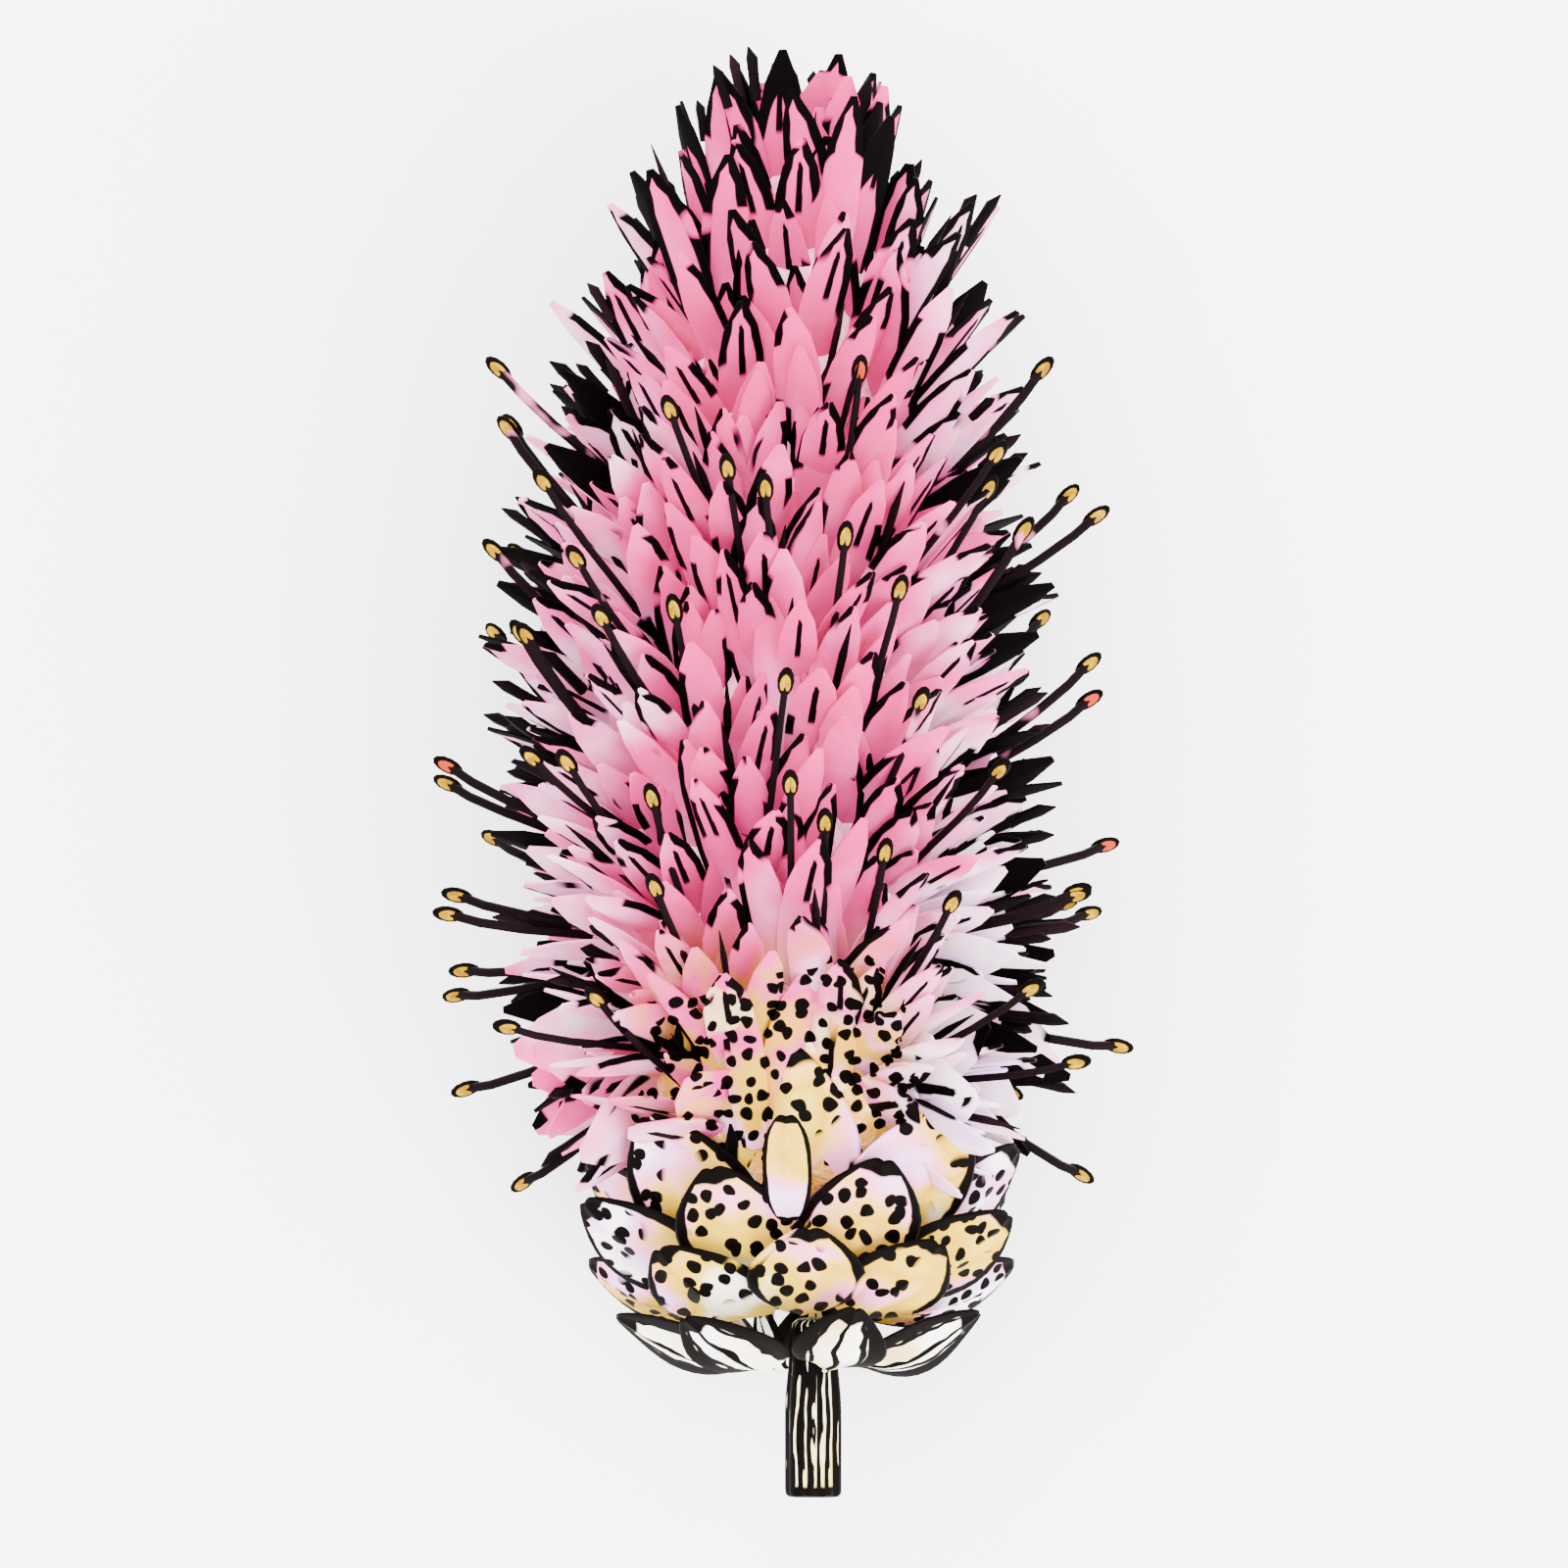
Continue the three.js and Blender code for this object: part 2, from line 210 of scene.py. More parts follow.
bottom = spike_point(0, 0, 0)
bpy.ops.mesh.primitive_cylinder_add(
    vertices=4 * STEM_RIBS,
    radius=STEM_RADIUS * MM,
    depth=STEM_TOP * MM,
    end_fill_type="TRIFAN",
    location=(bottom.x * MM, (bottom.y + STEM_TOP / 2) * MM, bottom.z * MM),
    rotation=(math.pi / 2, 0, 0),
)
stem = begin("stem")
for station in STEM_RINGS:
    bpy.ops.mesh.select_all(action="SELECT")
    ring_at = spike_point(station, 0, 0) * MM
    bpy.ops.mesh.bisect(plane_co=ring_at, plane_no=(0, 1, 0))
# The grooves between the ribs are drawn in towards the axis.
on_axis = (bottom.x * MM, 0, bottom.z * MM)
for rib in range(STEM_RIBS):
    groove = 2 * math.pi * rib / STEM_RIBS

    def in_groove(co, groove=groove):
        turn = math.atan2(co.z - AXIS_HEIGHT, co.x - bottom.x)
        off_axis = math.hypot(co.z - AXIS_HEIGHT, co.x - bottom.x)
        return off_axis > STEM_RADIUS / 4 and math.cos(turn - groove) > math.cos(GROOVE_HALF_TURN)

    pick(stem, in_groove)
    bpy.ops.transform.resize(value=(GROOVE_DEPTH, 1, GROOVE_DEPTH), center_override=on_axis)
# The cut end leans, and the stem narrows a little under the bracts.
pick(stem, lambda co: co.y < bottom.y + ROW_REACH)
hinge = (bottom.x * MM, (bottom.y + CUT_HINGE) * MM, bottom.z * MM)
bpy.ops.transform.rotate(value=CUT_LEAN, orient_axis="X", center_override=hinge)
pick(stem, lambda co: co.y > bottom.y + NECK_STATION)
bpy.ops.transform.resize(value=(NECK_WIDTH, 1, NECK_WIDTH), center_override=on_axis)
bpy.ops.mesh.select_all(action="SELECT")
bpy.ops.mesh.normals_make_consistent(inside=False)
bpy.ops.object.mode_set(mode="OBJECT")
round_off(stem)
bpy.ops.object.shade_smooth_by_angle(angle=STEM_CREASE)


def where_all(tree, mask, *others):
    """1 where all of the masks are 1, and fainter where one is."""
    for other in others:
        mask = put(tree, "Math", {0: mask, 1: other}, operation="MULTIPLY")[0]
    return mask


def where_any(tree, mask, *others):
    """1 where any of the masks is 1."""
    for other in others:
        mask = put(tree, "Math", {0: mask, 1: other}, operation="MAXIMUM")[0]
    return mask


# Living plant stalk: a thin skin over pale flesh, matt, with cream blotches about 2.4 mm across. The fibres
# are 0.3 mm wide and run 5 mm or more, and they close up to a line along both flanks and round the cut end.
NEAR_BLACK = linear("#040202")
PLANT_SKIN = {"Roughness": 0.6, "Specular IOR Level": 0.02}
stalk, tree, output = new_finish("plant_stalk")
place = put(tree, "TexCoord", {})["Object"]
x, y, z = put(tree, "SeparateXYZ", {"Vector": place})
off_x = put(tree, "Math", {0: x, 1: bottom.x * MM}, operation="SUBTRACT")[0]
off_z = put(tree, "Math", {0: z, 1: bottom.z * MM}, operation="SUBTRACT")[0]
around = put(tree, "Math", {0: off_z, 1: off_x}, operation="ARCTAN2")[0]
by_ribs = put(tree, "Math", {0: around, 1: 2 * STEM_RIBS}, operation="MULTIPLY")[0]
drawn_out = put(tree, "Mapping", {"Vector": place, "Scale": (1000, 170, 1000)})["Vector"]
fibre = put(tree, "TexNoise", {"Vector": drawn_out, "Scale": 1.15, "Detail": 2.0})["Fac"]
wander = put(tree, "Math", {0: fibre, 1: 11.0, 2: by_ribs}, operation="MULTIPLY_ADD")[0]
waves = put(tree, "Math", {0: wander}, operation="SINE")[0]
lines = put(tree, "Math", {0: fibre, 1: -3.2, 2: waves}, operation="MULTIPLY_ADD")[0]
dark = put(tree, "MapRange", {"Value": lines, "From Min": -0.85, "From Max": -1.0})["Result"]
off_middle = put(tree, "Math", {0: off_x}, operation="ABSOLUTE")[0]
streaked = put(tree, "Math", {0: fibre, 1: 0.0009, 2: off_middle}, operation="MULTIPLY_ADD")[0]
flank = put(tree, "MapRange", {"Value": streaked, "From Min": 0.00172, "From Max": 0.00178})["Result"]
off_both = put(tree, "CombineXYZ", {0: off_x, 1: off_z})["Vector"]
off_axis = put(tree, "VectorMath", {0: off_both}, operation="LENGTH")["Value"]
skin_deep = put(tree, "MapRange", {"Value": off_axis, "From Min": 0.0013, "From Max": 0.0014})["Result"]
end_at = (bottom.y + 1.2) * MM
cut_end = put(tree, "MapRange", {"Value": y, "From Min": end_at, "From Max": end_at - 0.0002})["Result"]
cut_ring = where_all(tree, skin_deep, cut_end)
between = put(tree, "MapRange", {"Value": lines, "From Min": -0.35, "From Max": -0.45})["Result"]
flank = where_all(tree, flank, between, skin_deep)
dark = where_any(tree, dark, flank, cut_ring)
bloom = put(tree, "TexNoise", {"Vector": place, "Scale": 420.0, "Detail": 2.0})["Fac"]
skin = put(
    tree, "ValToRGB", {"Fac": bloom}, stops=[(0.3, "#c8b45c"), (0.48, "#e6da9c"), (0.62, "#f4edcc")]
)["Color"]
lined = put(tree, "Mix", {"Factor": dark, 6: skin, 7: NEAR_BLACK}, data_type="RGBA")[2]
ridges = put(tree, "Bump", {"Height": fibre, "Strength": 0.5, "Distance": 0.0003})["Normal"]
surface = put(tree, "BsdfPrincipled", {"Base Color": lined, "Normal": ridges, **PLANT_SKIN})["BSDF"]
cover(stem, stalk, output, surface)
hand_over(stem, "stem_and_rachis")

# Papery bracts
# A loose ring of thin, dry, white bracts where the head starts, with small scales on the stem under them.
# Each is a cupped blade on a narrow claw that grows out of the stem.
# A tier gives its leans and lengths in pairs: at the sides and below, then on top.
PAPERY_TIERS = [
    {"count": 7, "station": 10.4, "leans": (92, 84), "lengths": (10.8, 9.5), "half": 3.7, "turn": 0.4},
    {"count": 5, "station": 9.4, "leans": (50, 50), "lengths": (4.2, 4.2), "half": 1.3, "turn": 0.9},
]
PAPERY_ROOT = 2.3
PAPERY_KEEL = 0.22
PAPERY_WALL = 0.35
# The rows of a blade, from its claw to its tip: half the width, the sway to one side and the lift.
PAPERY_ROWS = [
    (0.9, 0, 0), (1.6, 0, 0.3), (3.1, 0.1, 0.4), (4.3, 0.2, 0.1),
    (4.8, 0.1, -0.6), (4.2, -0.2, -1.5), (2.6, -0.4, -2.7), (0.5, -0.5, -3.6),
]
BRACT_LENGTH = 16.0
BRACT_HALF_WIDTH = 4.8
BRACT_COLUMNS = 6
BRACT_ROLL = math.radians(35)
BRACT_TURN_PLAY = 0.1
BRACT_LEAN_PLAY = 5
BRACT_STRETCH = (0.94, 0.12)
CREASE = 60
KEEL_WIDTH = 0.3
# What comes near the table is bent up to a level over it: the bracts' level, how softly and how far aside.
BRACT_FLOOR = 0.9
FLOOR_SOFTNESS = 2.0
FLOOR_SPREAD = 0.5
LEAST_HEIGHT = 0.05
FACES_UP = 0.4
SHEET_SHIFT = 0.05


def draw(index, trait):
    """A repeatable number from 0 to 1 for the piece of that index; each trait reads its own."""
    wave = math.sin(index * 12.9898 + trait * 78.233) * 43758.5453
    return wave - math.floor(wave)


def vary(least_and_play, index, trait):
    """A repeatable number from a least one up to that and its play."""
    least, play = least_and_play
    return least + play * draw(index, trait)


def facing_up(turn):
    """How squarely a turn faces up, from 0 at the sides and below to 1 on top."""
    return max(0.0, math.sin(turn)) ** 2


def leaning(angle, turn):
    """The direction that leans out from the axis by an angle, at a turn round it, with two that square it."""
    out = Vector((math.cos(turn), 0, math.sin(turn)))
    ahead = Vector((0, 1, 0))
    d = ahead * math.cos(angle) + out * math.sin(angle)
    under = out * math.cos(angle) - ahead * math.sin(angle)
    return d, under, d.cross(under)


def pick_row(piece, reach, at=0.0, within=math.inf):
    """Selects the row of vertices at a reach along +Y, up to a distance to either side of an X."""
    pick(piece, lambda co: abs(co.y - reach) < ROW_REACH and abs(co.x - at) < within)


def blade(name, length, columns, table_rows, keel, thickness):
    """A leaf-like blade: a grid drawn in row by row to its half widths, keeled and given its thickness."""
    rows = len(table_rows) - 1
    bpy.ops.mesh.primitive_grid_add(
        x_subdivisions=columns, y_subdivisions=rows, size=length * MM, location=(0, length / 2 * MM, 0)
    )
    piece = begin(name)
    for number, (half, sway, lift) in enumerate(table_rows):
        reach = length * number / rows
        pick_row(piece, reach)
        bpy.ops.transform.resize(value=(half / (length / 2), 1, 1), center_override=(0, reach * MM, 0))
        bpy.ops.transform.translate(value=(sway * MM, 0, lift * MM))
        pick_row(piece, reach, sway, KEEL_WIDTH * half)
        bpy.ops.transform.translate(value=(0, 0, keel * half * MM))
    bpy.ops.object.mode_set(mode="OBJECT")
    wall = piece.modifiers.new("wall", "SOLIDIFY")
    wall.thickness = thickness * MM
    wall.offset = -1
    bpy.ops.object.modifier_apply(modifier="wall")
    bpy.ops.object.select_all(action="DESELECT")
    return piece


def set_out(pattern, name, columns, at, tint, level, push):
    """A copy of the pattern with its own mesh, set by its columns and bent up off the table along push."""
    mesh = pattern.data.copy()
    matrix = Matrix.Identity(4)
    for number, column in enumerate(columns):
        matrix.col[number].xyz = column
    matrix.translation = at * MM
    mesh.transform(matrix)
    flat = Vector((push.x, push.y, 0)) * FLOOR_SPREAD
    for vertex in mesh.vertices:
        over = vertex.co.z / MM - level
        rise = (over + math.hypot(over, FLOOR_SOFTNESS)) / 2 - over
        vertex.co += (flat * rise + Vector((0, 0, rise))) * MM
        vertex.co.z = max(vertex.co.z, LEAST_HEIGHT * MM)
    tints = mesh.attributes.new("tint", "FLOAT", "FACE")
    tints.data.foreach_set("value", [tint] * len(mesh.polygons))
    copy = bpy.data.objects.new(name, mesh)
    bpy.context.collection.objects.link(copy)
    return copy


def grow_together(copies, name, patterns, crease=CREASE):
    """Joins the copies into one piece, smooths it up to a crease's angle and clears the patterns away."""
    bpy.ops.object.select_all(action="DESELECT")
    for copy in copies:
        copy.select_set(True)
    bpy.context.view_layer.objects.active = copies[0]
    bpy.ops.object.join()
    piece = bpy.context.object
    piece.name = name
    piece.data.name = name
    bpy.ops.object.shade_smooth_by_angle(angle=math.radians(crease))
    piece.select_set(False)
    for pattern in patterns:
        bpy.data.objects.remove(pattern)
    return piece


def lay_sheet(mesh, laid, shift):
    """Gives the mesh the flat places of a mesh like it, moved along, for a pattern of dots."""
    sheet = mesh.attributes.new("sheet", "FLOAT_VECTOR", "POINT")
    places = [place for vertex in laid.vertices for place in (vertex.co.x + shift, vertex.co.y, 0)]
    sheet.data.foreach_set("vector", places)


def set_bracts(pattern, tiers, root_radius, first_index):
    """Rings of bracts; each leans out from the stem, turns its face up at the sides and cups the head."""
    copies = []
    for tier in tiers:
        station = tier["station"]
        side_lean, top_lean = tier["leans"]
        side_length, top_length = tier["lengths"]
        for k in range(tier["count"]):
            turn = (k + tier["turn"]) * 2 * math.pi / tier["count"]
            turn += BRACT_TURN_PLAY * (draw(k, station) - 0.5)
            up = facing_up(turn)
            lean = side_lean + up * (top_lean - side_lean) + BRACT_LEAN_PLAY * (draw(k, station + 1) - 0.5)
            length = side_length + up * (top_length - side_length)
            length *= vary(BRACT_STRETCH, k, station + 2)
            d, under, side = leaning(math.radians(lean), turn)
            roll = Matrix.Rotation(-BRACT_ROLL * math.cos(turn), 3, d)
            wide = tier["half"] / BRACT_HALF_WIDTH
            long = length / BRACT_LENGTH
            columns = (roll @ side * wide, d * long, roll @ under)
            root = spike_point(station, root_radius, turn)
            tint = draw(first_index + len(copies), 21)
            copy = set_out(pattern, "bract", columns, root, tint, BRACT_FLOOR, d)
            # Dots are laid from above on the bracts that face up, and along the bract on the others.
            lay_sheet(copy.data, copy.data if up > FACES_UP else pattern.data, SHEET_SHIFT * tint)
            copies.append(copy)
    return copies


papery_pattern = blade("papery_pattern", BRACT_LENGTH, BRACT_COLUMNS, PAPERY_ROWS, PAPERY_KEEL, PAPERY_WALL)
copies = set_bracts(papery_pattern, PAPERY_TIERS, PAPERY_ROOT, 0)
papery_bracts = grow_together(copies, "papery_ring", [papery_pattern])
round_off(papery_bracts)


def off_half(tree, value):
    """How far a value is from a half, to either side."""
    from_half = put(tree, "Math", {0: value, 1: 0.5}, operation="SUBTRACT")[0]
    return put(tree, "Math", {0: from_half}, operation="ABSOLUTE")[0]


def hand_drawn(tree, wobble, share, place, start, full):
    """1 where a place, moved by a share of the wobble, is past a start, as for an edge that isn't ruled."""
    moved = put(tree, "Math", {0: wobble, 1: share, 2: place}, operation="MULTIPLY_ADD")[0]
    return put(tree, "ValToRGB", {"Fac": moved}, stops=[(start, 0.0), (full, 1.0)])["Color"]


# Dry bract tissue: thin, matt and white with cream shadows, wavy dark veins 2 mm apart and a dark edge.
dry_bract, tree, output = new_finish("dry_bract_tissue")
coordinates = put(tree, "TexCoord", {})
place = coordinates["Object"]
across, run, _ = put(tree, "SeparateXYZ", {"Vector": coordinates["UV"]})
wobble = put(tree, "TexNoise", {"Vector": place, "Scale": 330.0, "Detail": 2.0})["Fac"]
edge = hand_drawn(tree, wobble, 0.12, off_half(tree, across), 0.35, 0.365)
tip = hand_drawn(tree, wobble, 0.1, run, 0.91, 0.925)
vein_wave = put(tree, "Math", {0: across, 1: 22.0}, operation="MULTIPLY")[0]
vein_shift = put(tree, "Math", {0: wobble, 1: 7.0, 2: vein_wave}, operation="MULTIPLY_ADD")[0]
vein_sine = put(tree, "Math", {0: vein_shift}, operation="SINE")[0]
vein = put(tree, "ValToRGB", {"Fac": vein_sine}, stops=[(0.6, 0.0), (0.68, 1.0)])["Color"]
ink = where_any(tree, edge, tip, vein)
clouds = put(tree, "TexNoise", {"Vector": place, "Scale": 210.0, "Detail": 2.0})["Fac"]
tissue = put(
    tree, "ValToRGB", {"Fac": clouds}, stops=[(0.36, "#dcc08a"), (0.46, "#f3e8d0"), (0.56, "#fdfaf2")]
)["Color"]
lined = put(tree, "Mix", {"Factor": ink, 6: tissue, 7: NEAR_BLACK}, data_type="RGBA")[2]
surface = put(tree, "BsdfPrincipled", {"Base Color": lined, **PLANT_SKIN})["BSDF"]
cover(papery_bracts, dry_bract, output, surface)
hand_over(papery_bracts, "papery_bracts")

# Speckled bracts
# Three tiers of rounded, cupped bracts that overlap like scales and hold the head: cream, peach and lavender
# tissue with dark dots. They grow out of the stem just over the papery ring.
# One small lobe lies on top over its neighbours, without dots and with a line all round it.
CUP_TIERS = [
    {"count": 8, "station": 15.6, "leans": (60, 35), "lengths": (15.6, 19.8), "half": 5, "turn": 0},
    {"count": 8, "station": 14.6, "leans": (72, 47), "lengths": (14.7, 15.5), "half": 4.8, "turn": 0.5},
    {"count": 8, "station": 13.6, "leans": (83, 61), "lengths": (12.6, 11.5), "half": 4.4, "turn": 0},
]
CUP_ROOT = 2.8
CUP_FIRST = 40
CUP_KEEL = 0.24
CUP_WALL = 0.45
CUP_ROWS = [
    (1.1, 0, 0), (1.9, 0, 0.35), (3.3, 0, 0.5), (4.4, 0, 0.4),
    (4.8, 0, 0.1), (4.5, 0, -0.4), (3.2, 0, -1.1), (0.7, 0, -1.9),
]
FRONT_LOBE = {"station": 21.0, "radius": 10.9, "lean": 24, "length": 8.5, "half": 1.75, "turn": 1.61}
LOBE_WIDTHS = [0.36, 0.84, 0.98, 1, 1, 0.96, 0.8, 0.32]
LOBE_KEEL = 0.3
LOBE_TINT = 1.0

speckled_pattern = blade("speckled_pattern", BRACT_LENGTH, BRACT_COLUMNS, CUP_ROWS, CUP_KEEL, CUP_WALL)
copies = set_bracts(speckled_pattern, CUP_TIERS, CUP_ROOT, CUP_FIRST)
lobe_rows = [(width * FRONT_LOBE["half"], 0, 0) for width in LOBE_WIDTHS]
lobe_pattern = blade("lobe_pattern", FRONT_LOBE["length"], BRACT_COLUMNS, lobe_rows, LOBE_KEEL, CUP_WALL)
d, under, side = leaning(math.radians(FRONT_LOBE["lean"]), FRONT_LOBE["turn"])
lobe_root = spike_point(FRONT_LOBE["station"], FRONT_LOBE["radius"], FRONT_LOBE["turn"])
lobe = set_out(lobe_pattern, "front_lobe", (side, d, under), lobe_root, LOBE_TINT, BRACT_FLOOR, d)
lay_sheet(lobe.data, lobe.data, 0)
copies.append(lobe)
speckled_bracts = grow_together(copies, "speckled_cup", [speckled_pattern, lobe_pattern])
round_off(speckled_bracts)


def dots_on(tree, place, scale):
    """Uneven round dots on the X and Y of a place, one to each cell of a loose pattern of that scale."""
    uneven = put(tree, "TexNoise", {"Vector": place, "Scale": 800.0, "Detail": 0.0})["Color"]
    shifted = put(
        tree, "VectorMath", {0: uneven, 1: (0.0006, 0.0006, 0), 2: place}, operation="MULTIPLY_ADD"
    )["Vector"]
    cells = put(
        tree, "TexVoronoi", {"Vector": shifted, "Scale": scale, "Randomness": 0.8}, voronoi_dimensions="2D"
    )["Distance"]
    return put(tree, "MapRange", {"Value": cells, "From Min": 0.34, "From Max": 0.3})["Result"]


# Soft bract tissue: cream and gold in the middle of the cup, peach and lavender pink towards its sides, in
# washes 8 mm across. The uneven dots are about 1 mm across and 1.6 mm apart, and a dark line comes and goes
# round each rim.
speckled, tree, output = new_finish("speckled_bract_tissue")
coordinates = put(tree, "TexCoord", {})
place = coordinates["Object"]
tint = put(tree, "Attribute", {}, attribute_name="tint")["Fac"]
sheet = put(tree, "Attribute", {}, attribute_name="sheet")["Vector"]
across, run, _ = put(tree, "SeparateXYZ", {"Vector": coordinates["UV"]})
x, _, _ = put(tree, "SeparateXYZ", {"Vector": place})
off_axis = put(tree, "Math", {0: x}, operation="ABSOLUTE")[0]
# The lobe's tint marks it: it is drawn round its foot too, and the dots stay off it.
lobe_mark = LOBE_TINT - 0.01
one_lobe = put(tree, "Math", {0: tint, 1: lobe_mark}, operation="GREATER_THAN")[0]
spotted = put(tree, "Math", {0: tint, 1: lobe_mark}, operation="LESS_THAN")[0]
wobble = put(tree, "TexNoise", {"Vector": place, "Scale": 330.0, "Detail": 2.0})["Fac"]
edge = hand_drawn(tree, wobble, 0.1, off_half(tree, across), 0.435, 0.45)
tip = hand_drawn(tree, wobble, 0.06, run, 0.95, 0.96)
foot = put(tree, "Math", {0: run, 1: 0.06}, operation="LESS_THAN")[0]
outline = where_any(tree, edge, tip, where_all(tree, foot, one_lobe))
# The outline is broken on the bracts in the middle of the cup, and whole at its sides and on the lobe.
broken = put(tree, "TexNoise", {"Vector": place, "Scale": 150.0, "Detail": 0.0})["Fac"]
outer = put(tree, "MapRange", {"Value": off_axis, "From Min": 0.009, "From Max": 0.013})["Result"]
presence = put(tree, "Math", {0: outer, 1: broken}, operation="ADD")[0]
presence = put(tree, "Math", {0: presence, 1: one_lobe}, operation="ADD")[0]
drawn = put(tree, "ValToRGB", {"Fac": presence}, stops=[(0.42, 0.0), (0.45, 1.0)])["Color"]
dot = dots_on(tree, sheet, 640.0)
sparse = put(tree, "TexNoise", {"Vector": sheet, "Scale": 170.0, "Detail": 0.0})["Fac"]
where = put(tree, "ValToRGB", {"Fac": sparse}, stops=[(0.38, 0.0), (0.42, 1.0)])["Color"]
ink = where_any(tree, where_all(tree, outline, drawn), where_all(tree, dot, where, spotted))
clouds = put(tree, "TexNoise", {"Vector": place, "Scale": 130.0, "Detail": 2.0})["Fac"]
warmth = put(tree, "Math", {0: tint, 1: 0.1, 2: clouds}, operation="MULTIPLY_ADD")[0]
pinker = put(
    tree,
    "MapRange",
    {"Value": off_axis, "From Min": 0.006, "From Max": 0.015, "To Min": -0.03, "To Max": 0.17},
)["Result"]
warmth = put(tree, "Math", {0: warmth, 1: pinker}, operation="ADD")[0]
mixed = put(
    tree,
    "ValToRGB",
    {"Fac": warmth},
    stops=[
        (0.34, "#f2ead6"), (0.42, "#d6b83e"), (0.53, "#c49a14"), (0.6, "#dcaa50"),
        (0.66, "#ec8cae"), (0.74, "#dcb0e2"), (0.82, "#f8eaf2"),
    ],
)["Color"]
lined = put(tree, "Mix", {"Factor": ink, 6: mixed, 7: NEAR_BLACK}, data_type="RGBA")[2]
surface = put(tree, "BsdfPrincipled", {"Base Color": lined, **PLANT_SKIN})["BSDF"]
cover(speckled_bracts, speckled, output, surface)
hand_over(speckled_bracts, "speckled_bracts")

# Woolly core
# The axis of the head under its florets, felted with rosy hairs. Only glimpses of it show between the tepals.
# It is one fat spindle on the rachis, drawn out ring by ring: the radius and the station of each.
CORE = [
    (6, 18), (9, 23), (11.2, 30), (12.4, 38), (12.6, 50),
    (11.6, 64), (9.8, 77), (7.2, 87), (4.2, 94), (1.5, 97),
]
CORE_SIDES = 28
first_radius, first_station = CORE[0]
bpy.ops.mesh.primitive_circle_add(
    vertices=CORE_SIDES,
    radius=first_radius * MM,
    fill_type="NGON",
    location=spike_point(first_station, 0, 0) * MM,
    rotation=(-math.pi / 2, 0, 0),
)
core = begin("woolly_core")
bpy.ops.mesh.select_all(action="SELECT")
for (r0, s0), (r1, s1) in zip(CORE, CORE[1:]):
    step = (spike_point(s1, 0, 0) - spike_point(s0, 0, 0)) * MM
    bpy.ops.mesh.extrude_region_move(TRANSFORM_OT_translate={"value": step})
    centre = spike_point(s1, 0, 0) * MM
    bpy.ops.transform.resize(value=(r1 / r0, 1, r1 / r0), center_override=centre)
bpy.ops.mesh.select_all(action="SELECT")
bpy.ops.mesh.normals_make_consistent(inside=False)
bpy.ops.object.mode_set(mode="OBJECT")
bpy.ops.object.shade_smooth()
core.select_set(False)

# Felted hairs: dull and soft, in rosy tufts about 1.5 mm across that run from deep to pale rose. Near the cup
# they are cream and golden, with a few dark dots between them.
wool, tree, output = new_finish("felted_hairs")
place = put(tree, "TexCoord", {})["Object"]
_, y, _ = put(tree, "SeparateXYZ", {"Vector": place})
near_cup = put(tree, "MapRange", {"Value": y, "From Min": -0.01, "From Max": -0.018})["Result"]
tufts = put(tree, "TexNoise", {"Vector": place, "Scale": 650.0, "Detail": 3.0, "Roughness": 0.7})["Fac"]
rosy = put(
    tree, "ValToRGB", {"Fac": tufts}, stops=[(0.35, "#ee7fb2"), (0.5, "#f8a4ca"), (0.65, "#fccbe0")]
)["Color"]
cream = put(
    tree, "ValToRGB", {"Fac": tufts}, stops=[(0.4, "#cf9c2c"), (0.52, "#dda050"), (0.62, "#efc9a0")]
)["Color"]
shade = put(tree, "Mix", {"Factor": near_cup, 6: rosy, 7: cream}, data_type="RGBA")[2]
dot = where_all(tree, dots_on(tree, place, 760.0), near_cup)
spotted = put(tree, "Mix", {"Factor": dot, 6: shade, 7: NEAR_BLACK}, data_type="RGBA")[2]
matted = put(tree, "Bump", {"Height": tufts, "Strength": 0.8, "Distance": 0.0006})["Normal"]
surface = put(
    tree,
    "BsdfPrincipled",
    {"Base Color": spotted, "Roughness": 0.9, "Specular IOR Level": 0.02, "Normal": matted},
)["BSDF"]
cover(core, wool, output, surface)
hand_over(core, "pink_flower_head")

# Tepals
# The pink mass of the head: florets in a spiral, each a crown of five narrow, keeled tepals rooted in the
# woolly core. Three more spirals of crowns that reach less far fill in between them, and the last two stop
# before the tip. Low florets have broad tepals, and some tepals at the outline are dark.
TIP_RADIUS = [
    (22, 18.4), (26, 19), (32, 18.8), (50, 19), (66, 18.2),
    (80, 15.6), (89, 12.8), (95, 9.4), (100, 6), (104, 1.4),
]
FLORET_ANGLE = [
    (23, 121), (26, 117), (31, 109), (38, 92), (46, 70), (56, 56),
    (68, 51), (80, 43), (89, 30), (96, 16), (104, 3),
]
GOLDEN_ANGLE = math.pi * (3 - math.sqrt(5))
FIRST_TURN = 1.18
# Each spiral: its turn from the first, how far its crowns stay under the outline, the lean of its florets
# that face up, and where its own numbers start.
SPIRALS = [
    (0, 0, 38, 0),
    (math.pi, 1.4, 30, 5000),
    (math.pi / 2, 2.8, 22, 9000),
    (-math.pi / 2, 3.8, 14, 13000),
]
LARGE_SPIRALS = 2
LAST_FILLED = 82
# Each floret has its area of the head, in square millimetres. The front starts higher, tucked in by the cup.
FLORET_AREA = 116
LEAST_RADIUS = 10
FIRST_FLORET = 24.2
LAST_FLORET = 103.4
BARE_FRONT = 13
FRONT_TUCK = 2.8
TUCK_REACH = 8
FLORET_LENGTH = 13
FLORET_LEAN_PLAY = 8
FLORET_RADIUS_PLAY = 1.4
PAST_AXIS = 1
# A crown is narrow at its root and opens less where the head is thin.
TEPALS = 5
CROWN_ROOT = 1.0
CROWN_TIP = 4.6
CROWN_CLOSED = 0.6
FULL_CROWN = 15
CROWN_TURN_PLAY = 0.5
